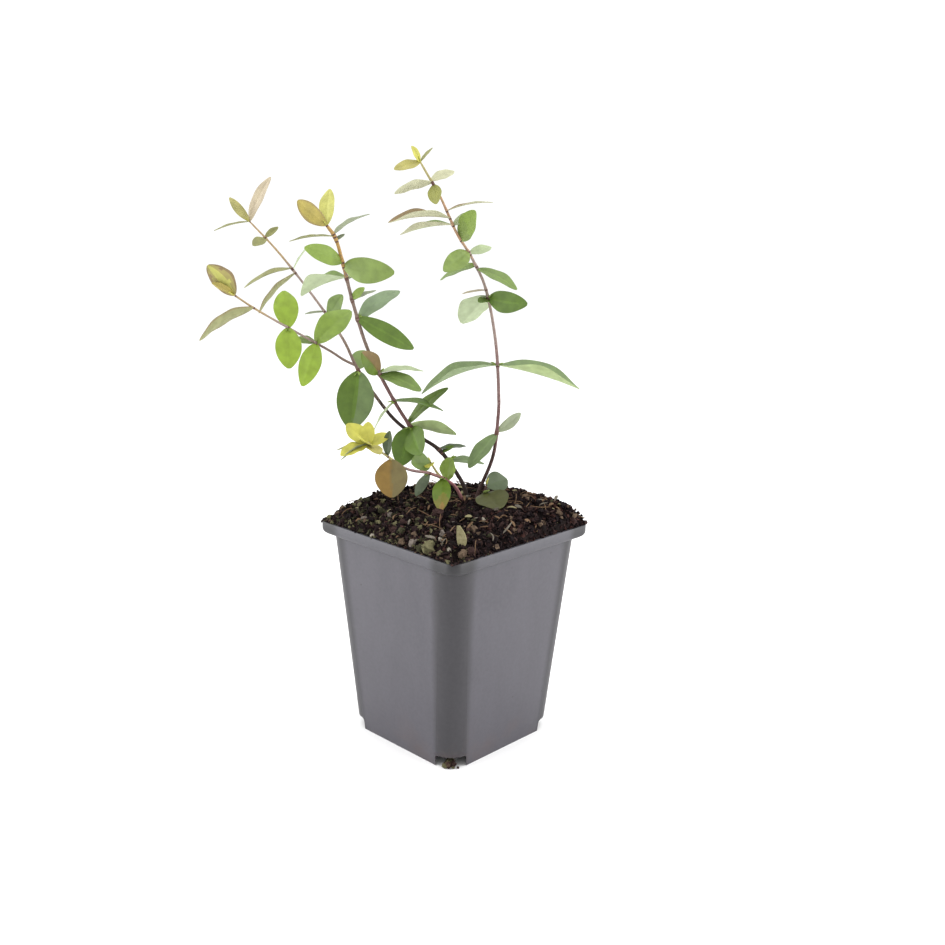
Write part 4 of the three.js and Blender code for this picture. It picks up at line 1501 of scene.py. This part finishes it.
# %% The blade of a leaf
BLADE_STEPS = 22
BLADE_COLUMNS = np.array([-1, -0.95, -0.78, -0.56, -0.33, -0.11, 0, 0.11, 0.33, 0.56, 0.78, 0.95, 1])
BLADE_FULLNESS = 0.68
BLADE_ROOT = 0.012
BLADE_TIP = 0.985
FOLD_CURVE = 1.3
BLADE_THICKNESS = 0.34
BLADE_RIM = 0.16
RIB_DEPTH = 0.16
RIB_WIDTH = 0.35
VEIN_PAIRS = 6
VEIN_SLANT = 0.3
VEIN_HEIGHT = 0.07
RIPPLE = 0.025
RIPPLE_WAVES = (1.6, 2.6)
SWAY = 0.01


def turned_about(vector, axis, angle):
    """A vector turned about a unit axis, anticlockwise seen against it."""
    return vector * math.cos(angle) + np.cross(axis, vector) * math.sin(angle)


def blade_frame(bearing, rise, turn):
    """The directions along a blade, across it, and out of its upper face."""
    away = math.radians(bearing)
    along = np.array([math.cos(away), math.sin(away), math.tan(math.radians(rise))])
    along /= np.linalg.norm(along)
    level = np.cross(along, (0, 0, 1))
    level /= np.linalg.norm(level)
    top = np.cross(level, along)
    turn = -math.radians(turn)
    return along, turned_about(level, along, turn), turned_about(top, along, turn)


def blade(base, bearing, rise, length, turn, kind, draw, swell=1.0):
    """The points of one blade, its upper side first, by steps along it and columns across it."""
    breadth, bend, fold = LEAF_KINDS[kind]
    along, side, face = blade_frame(bearing, rise, turn)
    bend = math.radians(bend * length)
    arc = length / (2 * math.sin(bend / 2))
    share = np.linspace(0, 1, BLADE_STEPS + 1)[:, None]
    lean = bend * (0.5 - share)
    rib = (base + along * arc * (math.sin(bend / 2) - np.sin(lean))
           + face * arc * (np.cos(lean) - math.cos(bend / 2)))
    normal = face * np.cos(lean) - along * np.sin(lean)
    outline = np.sin(math.pi * (BLADE_ROOT + (BLADE_TIP - BLADE_ROOT) * share)) ** BLADE_FULLNESS
    half = length * breadth / 2 * outline * swell
    across = BLADE_COLUMNS[None, :]
    spread = np.abs(across)
    cup = fold * half * outline * spread ** FOLD_CURVE
    waves = draw.uniform(*RIPPLE_WAVES)
    phase = draw.uniform(0, 2 * math.pi, 2)
    phase = np.where(across < 0, phase[0], phase[1])
    ripple = RIPPLE * length * breadth * outline * spread ** 2 * np.sin(2 * math.pi * waves * share + phase)
    slant = VEIN_SLANT * spread * half / length * 2
    vein = VEIN_HEIGHT * np.cos(2 * math.pi * VEIN_PAIRS * (share - slant))
    vein = vein * np.sin(math.pi * spread) * outline
    sag = RIB_DEPTH * np.exp(-(across * half / RIB_WIDTH) ** 2) * np.minimum(1, outline * 2)
    drift = draw.normal(0, SWAY) * length * np.sin(math.pi * share) ** 2
    height = cup + ripple
    places = rib[:, None] + side * (across * half + drift)[..., None] + normal[:, None] * height[..., None]
    thick = BLADE_RIM + (BLADE_THICKNESS - BLADE_RIM) * (1 - spread ** 4)
    upper = places + normal[:, None] * (thick / 2 + vein - sag)[..., None]
    lower = places - normal[:, None] * (thick / 2 - vein + sag)[..., None]
    return np.concatenate([upper.reshape(-1, 3), lower.reshape(-1, 3)])


print("points on a blade:", 2 * (BLADE_STEPS + 1) * len(BLADE_COLUMNS))

# %% The faces of a blade
def blade_faces():
    """The faces of a blade, with the step and the column of each, and whether it is on the upper side."""
    columns = len(BLADE_COLUMNS)
    under = (BLADE_STEPS + 1) * columns
    faces, where = [], []
    for step in range(BLADE_STEPS):
        for column in range(columns - 1):
            first = step * columns + column
            quad = (first, first + columns, first + columns + 1, first + 1)
            faces.append(quad)
            where.append((step, column, True))
            faces.append(tuple(under + k for k in reversed(quad)))
            where.append((step, column, False))
        for column, order in ((0, (0, 1, 3, 2)), (columns - 1, (1, 0, 2, 3))):
            first = step * columns + column
            corners = (first, first + under, first + columns, first + columns + under)
            faces.append(tuple(corners[k] for k in order))
            where.append((step, min(column, columns - 2), True))
    for step, order in ((0, (0, 1, 3, 2)), (BLADE_STEPS, (1, 0, 2, 3))):
        for column in range(columns - 1):
            first = step * columns + column
            corners = (first, first + 1, first + under, first + 1 + under)
            faces.append(tuple(corners[k] for k in order))
            where.append((min(step, BLADE_STEPS - 1), column, True))
    return faces, np.array(where)


faces_of_blade, where_on_blade = blade_faces()
print("faces on a blade:", len(faces_of_blade))

# %% [markdown]
# The leaves run from deep green on the old wood to lime, gold and bronze at the young tips, and every
# leaf is paler beneath. Each tint is a plain pair of colours, one for the upper side and one for the
# lower, and it is dealt out by leaf. Where a leaf has a blush, a band of the colour half-way between
# softens its border. On the large dark leaves the rib shows as a slightly paler line. A waxy cuticle
# makes the upper side faintly glossy.

# %% The leaves' tints
TINTS = {
    "deep": ("#4c6420", "#8a9a6a"),
    "forest": ("#526927", "#75875a"),
    "teal": ("#617349", "#8d9f76"),
    "slate": ("#465239", "#65705a"),
    "celadon": ("#738564", "#8e9d7c"),
    "sage": ("#8d9d6e", "#a6b780"),
    "green": ("#61753a", "#93a375"),
    "apple": ("#6d8040", "#93a468"),
    "fern": ("#4f6417", "#73823c"),
    "fresh": ("#73893a", "#93a562"),
    "lime": ("#7c9330", "#98a856"),
    "pale": ("#97a47f", "#a8b492"),
    "cream": ("#a3a384", "#aaa98c"),
    "ivory": ("#b0b294", "#b4b498"),
    "grey": ("#788065", "#8f967e"),
    "citron": ("#86884a", "#93945f"),
    "yellow": ("#a5a244", "#abaa5c"),
    "butter": ("#a9a85c", "#b1b072"),
    "mustard": ("#8a7c36", "#978a48"),
    "gold": ("#96904f", "#9f9a63"),
    "olive": ("#77784a", "#898a62"),
    "bronze": ("#73603c", "#806f50"),
    "amber": ("#785f2d", "#826b42"),
    "khaki": ("#665c39", "#786e49"),
    "rose": ("#9d9179", "#a69c86"),
    "moss": ("#40421f", "#525236"),
}
RIBBED = ("deep", "forest", "teal", "slate", "green")
RIB_LIGHTER = 0.09
LEAF_TONE = 0.06
LEAF_CLOUD = 3.5
LEAF_CELLS = 1.1
LEAF_DEPTH = 0.05
UPPER_ROUGHNESS = 0.5
UNDER_ROUGHNESS = 0.7


def shade(code, change):
    """A hex colour made lighter or darker by a share of its value."""
    channels = [int(code[k:k + 2], 16) for k in (1, 3, 5)]
    return "#" + "".join(f"{min(255, max(0, round(c * (1 + change)))):02x}" for c in channels)


def half_way(code, other):
    """The hex colour half-way between two."""
    channels = [(int(code[k:k + 2], 16) + int(other[k:k + 2], 16)) // 2 for k in (1, 3, 5)]
    return "#" + "".join(f"{c:02x}" for c in channels)


def leaf_material(name, code, roughness):
    """A leaf's skin: an even tint that clouds slightly over a few millimetres, under a thin waxy gloss."""
    material, tree = new_material(name)
    place = add_node(tree, "ShaderNodeTexCoord").outputs["Object"]
    cloud = add_node(tree, "ShaderNodeTexNoise", {"Scale": 1 / (LEAF_CLOUD * MM), "Detail": 3.0},
                     {"Vector": place})
    colour = add_node(tree, "ShaderNodeValToRGB", None, {"Fac": cloud.outputs["Fac"]},
                      zip(MOTTLE, (shade(code, -LEAF_TONE), shade(code, LEAF_TONE))))
    cells = add_node(tree, "ShaderNodeTexNoise", {"Scale": 1 / (LEAF_CELLS * MM), "Detail": 1.0},
                     {"Vector": place})
    bump = add_node(tree, "ShaderNodeBump", {"Strength": 0.1, "Distance": LEAF_DEPTH * MM},
                    {"Height": cells.outputs["Fac"]})
    wax = add_node(tree, "ShaderNodeBsdfPrincipled", {"Roughness": roughness, "Specular IOR Level": 0.3},
                   {"Base Color": colour.outputs["Color"], "Normal": bump.outputs["Normal"]})
    add_node(tree, "ShaderNodeOutputMaterial", None, {"Surface": wax.outputs["BSDF"]})
    return material


for shoot in SHOOTS.values():
    for row in shoot["leaves"]:
        if len(row) > 7:
            sides = zip(TINTS[row[6]], TINTS[row[7]])
            TINTS[f"{row[6]} to {row[7]}"] = tuple(half_way(*pair) for pair in sides)
leaf_skins = {}
for name, (above, beneath) in TINTS.items():
    leaf_skins[name, "above"] = leaf_material(f"{name} leaf above", above, UPPER_ROUGHNESS)
    leaf_skins[name, "beneath"] = leaf_material(f"{name} leaf beneath", beneath, UNDER_ROUGHNESS)
for name in RIBBED:
    rib_tone = shade(TINTS[name][0], RIB_LIGHTER)
    leaf_skins[name, "rib"] = leaf_material(f"{name} leaf rib", rib_tone, UPPER_ROUGHNESS)
print("leaf skins:", len(leaf_skins))

# %% Dealing the tints to the faces of a leaf
RIB_COLUMNS = (5, 6)
RIB_END = 0.8
RIBBED_LENGTH = 15
BLUSH_WANDER = 0.1
BLUSH_BAND = 0.13
BLUSH_WAVES = ((5, 9), (3, 5))
BLUSH_PHASE = (0, 6)
BLUSH_STARTS = {"tip": 0.72, "base": 0.3, "edge": 0.8, "middle": 0.5}


def blush_depth(where, part, draw):
    """How far each face of a blade is inside a blush on its tip, base, edge, middle, left or right."""
    along = where[:, 0] / BLADE_STEPS
    across = (where[:, 1] + 0.5) / (len(BLADE_COLUMNS) - 1) * 2 - 1
    wander, across_wander = [
        BLUSH_WANDER * np.sin(way * draw.uniform(*waves) + draw.uniform(*BLUSH_PHASE))
        for way, waves in zip((along, across), BLUSH_WAVES)]
    depths = {
        "tip": along - BLUSH_STARTS["tip"] + across_wander,
        "base": BLUSH_STARTS["base"] - along + across_wander,
        "edge": np.abs(across) - BLUSH_STARTS["edge"] + wander / 2,
        "middle": BLUSH_STARTS["middle"] - np.abs(across) + wander / 2,
        "left": -across + wander,
        "right": across + wander,
    }
    return depths[part]


def leaf_slots(tint, blush, part, slots, length, draw):
    """The number of each face's material on a leaf, from its tint, its blush and its rib."""
    above = where_on_blade[:, 2] == 1
    result = np.where(above, slots[tint, "above"], slots[tint, "beneath"])
    if blush:
        depth = blush_depth(where_on_blade, part, draw)
        for name, chosen in ((f"{tint} to {blush}", depth > -BLUSH_BAND), (blush, depth > BLUSH_BAND)):
            result = np.where(chosen & above, slots[name, "above"], result)
            result = np.where(chosen & ~above, slots[name, "beneath"], result)
    if length > RIBBED_LENGTH and tint in RIBBED:
        on_rib = np.isin(where_on_blade[:, 1], RIB_COLUMNS) & (where_on_blade[:, 0] < BLADE_STEPS * RIB_END)
        result = np.where(on_rib & above, slots[tint, "rib"], result)
    return result


print("width of a blush's soft border as a share of half the blade:", 2 * BLUSH_BAND)

# %% [markdown]
# Each shoot's leaves become one piece. In the angle of each leaf of the older pairs a small side shoot
# waits with two leaves of its own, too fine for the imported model. A seeded draw decides which of them
# have come out, and how far. They stay well within the reach of the big leaves. Each tip ends in a pair
# of folded leaves a few millimetres long, out of which the next pair would grow.

# %% The leaves
AXIL_CHANCE = 0.55
AXIL_SHARE = 0.75
AXIL_LENGTH = 12
AXIL_LEAF = (2.4, 4.2)
AXIL_RISE = 38
TIP_LEAF = 3.6
TIP_STEEPEST = 75
YOUNG_WOBBLE = 8
YOUNG_SHARES = (0.8, 1.1)
YOUNG_SPREAD = 24
YOUNG_TURN = 30
YOUNG_SWELL = 0.9
leaf_draw = np.random.default_rng(23)


def small_pair(base, bearing, rise, length, draw):
    """Two narrow leaves that stand close together in the angle of a larger one."""
    return [
        blade(base, bearing + hand * YOUNG_SPREAD, rise + draw.uniform(-YOUNG_WOBBLE, YOUNG_WOBBLE),
              length * draw.uniform(*YOUNG_SHARES), hand * YOUNG_TURN, "oval", draw, YOUNG_SWELL)
        for hand in (-1, 1)]


def skins_of(shoot):
    """The leaf skins that a shoot uses, and the number of each by its tint and side."""
    tints = {"fresh", "yellow"}
    for row in shoot["leaves"]:
        tints |= {row[6], *row[7:8]} | ({f"{row[6]} to {row[7]}"} if len(row) > 7 else set())
    used = [key for key in leaf_skins if key[0] in tints]
    return {key: number for number, key in enumerate(used)}, [leaf_skins[key] for key in used]


def shoot_leaves(name):
    """All the leaves of a shoot as copies for joining, and the materials that they use."""
    shoot, curve = SHOOTS[name], curves[name]
    slots, skins = skins_of(shoot)
    copies = []
    for at, bearing, rise, length, turn, kind, tint, *rest in shoot["leaves"]:
        blush, part = rest if rest else (None, None)
        base = point_at(curve, at)
        points = blade(base, bearing, rise, length, turn, kind, leaf_draw)
        dealt = leaf_slots(tint, blush, part, slots, length, leaf_draw)
        copies.append((on_pot(points), faces_of_blade, dealt))
        old = length > AXIL_LENGTH and at < AXIL_SHARE * curve[1][-1]
        if old and leaf_draw.random() < AXIL_CHANCE:
            size = leaf_draw.uniform(*AXIL_LEAF)
            young = leaf_slots("fresh", None, None, slots, 0, leaf_draw)
            for points in small_pair(base, bearing, rise + AXIL_RISE, size, leaf_draw):
                copies.append((on_pot(points), faces_of_blade, young))
    tip = point_at(curve, curve[1][-1])
    heading = tip - point_at(curve, curve[1][-1] - 2)
    bearing = math.degrees(math.atan2(heading[1], heading[0]))
    rise = min(TIP_STEEPEST, math.degrees(math.atan2(heading[2], np.hypot(heading[0], heading[1]))))
    young = leaf_slots("yellow", None, None, slots, 0, leaf_draw)
    for points in small_pair(tip - heading / 4, bearing, rise, TIP_LEAF, leaf_draw):
        copies.append((on_pot(points), faces_of_blade, young))
    return copies, skins


leaf_pieces = {}
for name in SHOOTS:
    copies, skins = shoot_leaves(name)
    piece = joined(f"{name}_shoot_foliage", copies, skins)
    smooth_piece(piece, 50)
    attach(piece, "root")
    leaf_pieces[name] = piece
print("leaf pieces:", {name: triangles_of(piece) for name, piece in leaf_pieces.items()}, "triangles")

# %% [markdown]
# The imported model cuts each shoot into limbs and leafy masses. The fine stem of a shoot stands for its
# limbs, and its stem and leaves together stand for its masses, so all of those are hidden.

# %% What stands for what
LIMBS = {
    "right": ["right_stem", "right_bough", "right_upper_bough"],
    "left": ["left_stem", "left_upper_stem", "left_bough", "left_bough_tip"],
    "middle": ["middle_bough"],
    "side": ["side_bough", "side_bough_tip"],
    "low": ["low_stem", "low_bough"],
    "twig": [],
    "foot": [],
}
MASSES = {
    "right": ["right_low_leaves", "right_paired_leaves", "right_mid_leaves", "right_top_leaves"],
    "left": ["left_inner_leaves", "left_mid_leaves", "left_upper_leaves", "left_top_leaves"],
    "middle": ["middle_low_leaves", "middle_upper_leaves", "middle_top_leaves"],
    "side": ["side_mid_leaves", "side_top_leaves"],
    "low": ["low_inner_leaves", "low_top_leaves"],
    "twig": ["inner_twig_leaves"],
    "foot": ["foot_leaves"],
}
for name in SHOOTS:
    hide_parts(*LIMBS[name], *MASSES[name])
    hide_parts(*MASSES[name])
replaced = sum(len(LIMBS[name]) + len(MASSES[name]) for name in SHOOTS)
print("nodes of the plant replaced:", replaced)

# %% [markdown]
# Both boxes, the imported part's and the dressed part's, are taken, and how far the dressed one grows past
# the imported one on each side is printed.

# %% Sizes and the end
seen_low, seen_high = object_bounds()
sizes = {"cad": [list(cad_low), list(cad_high)], "visual": [list(seen_low), list(seen_high)]}
print("grown in mm:", [round(v / MM, 1) for v in (*(cad_low - seen_low), *(seen_high - cad_high))])
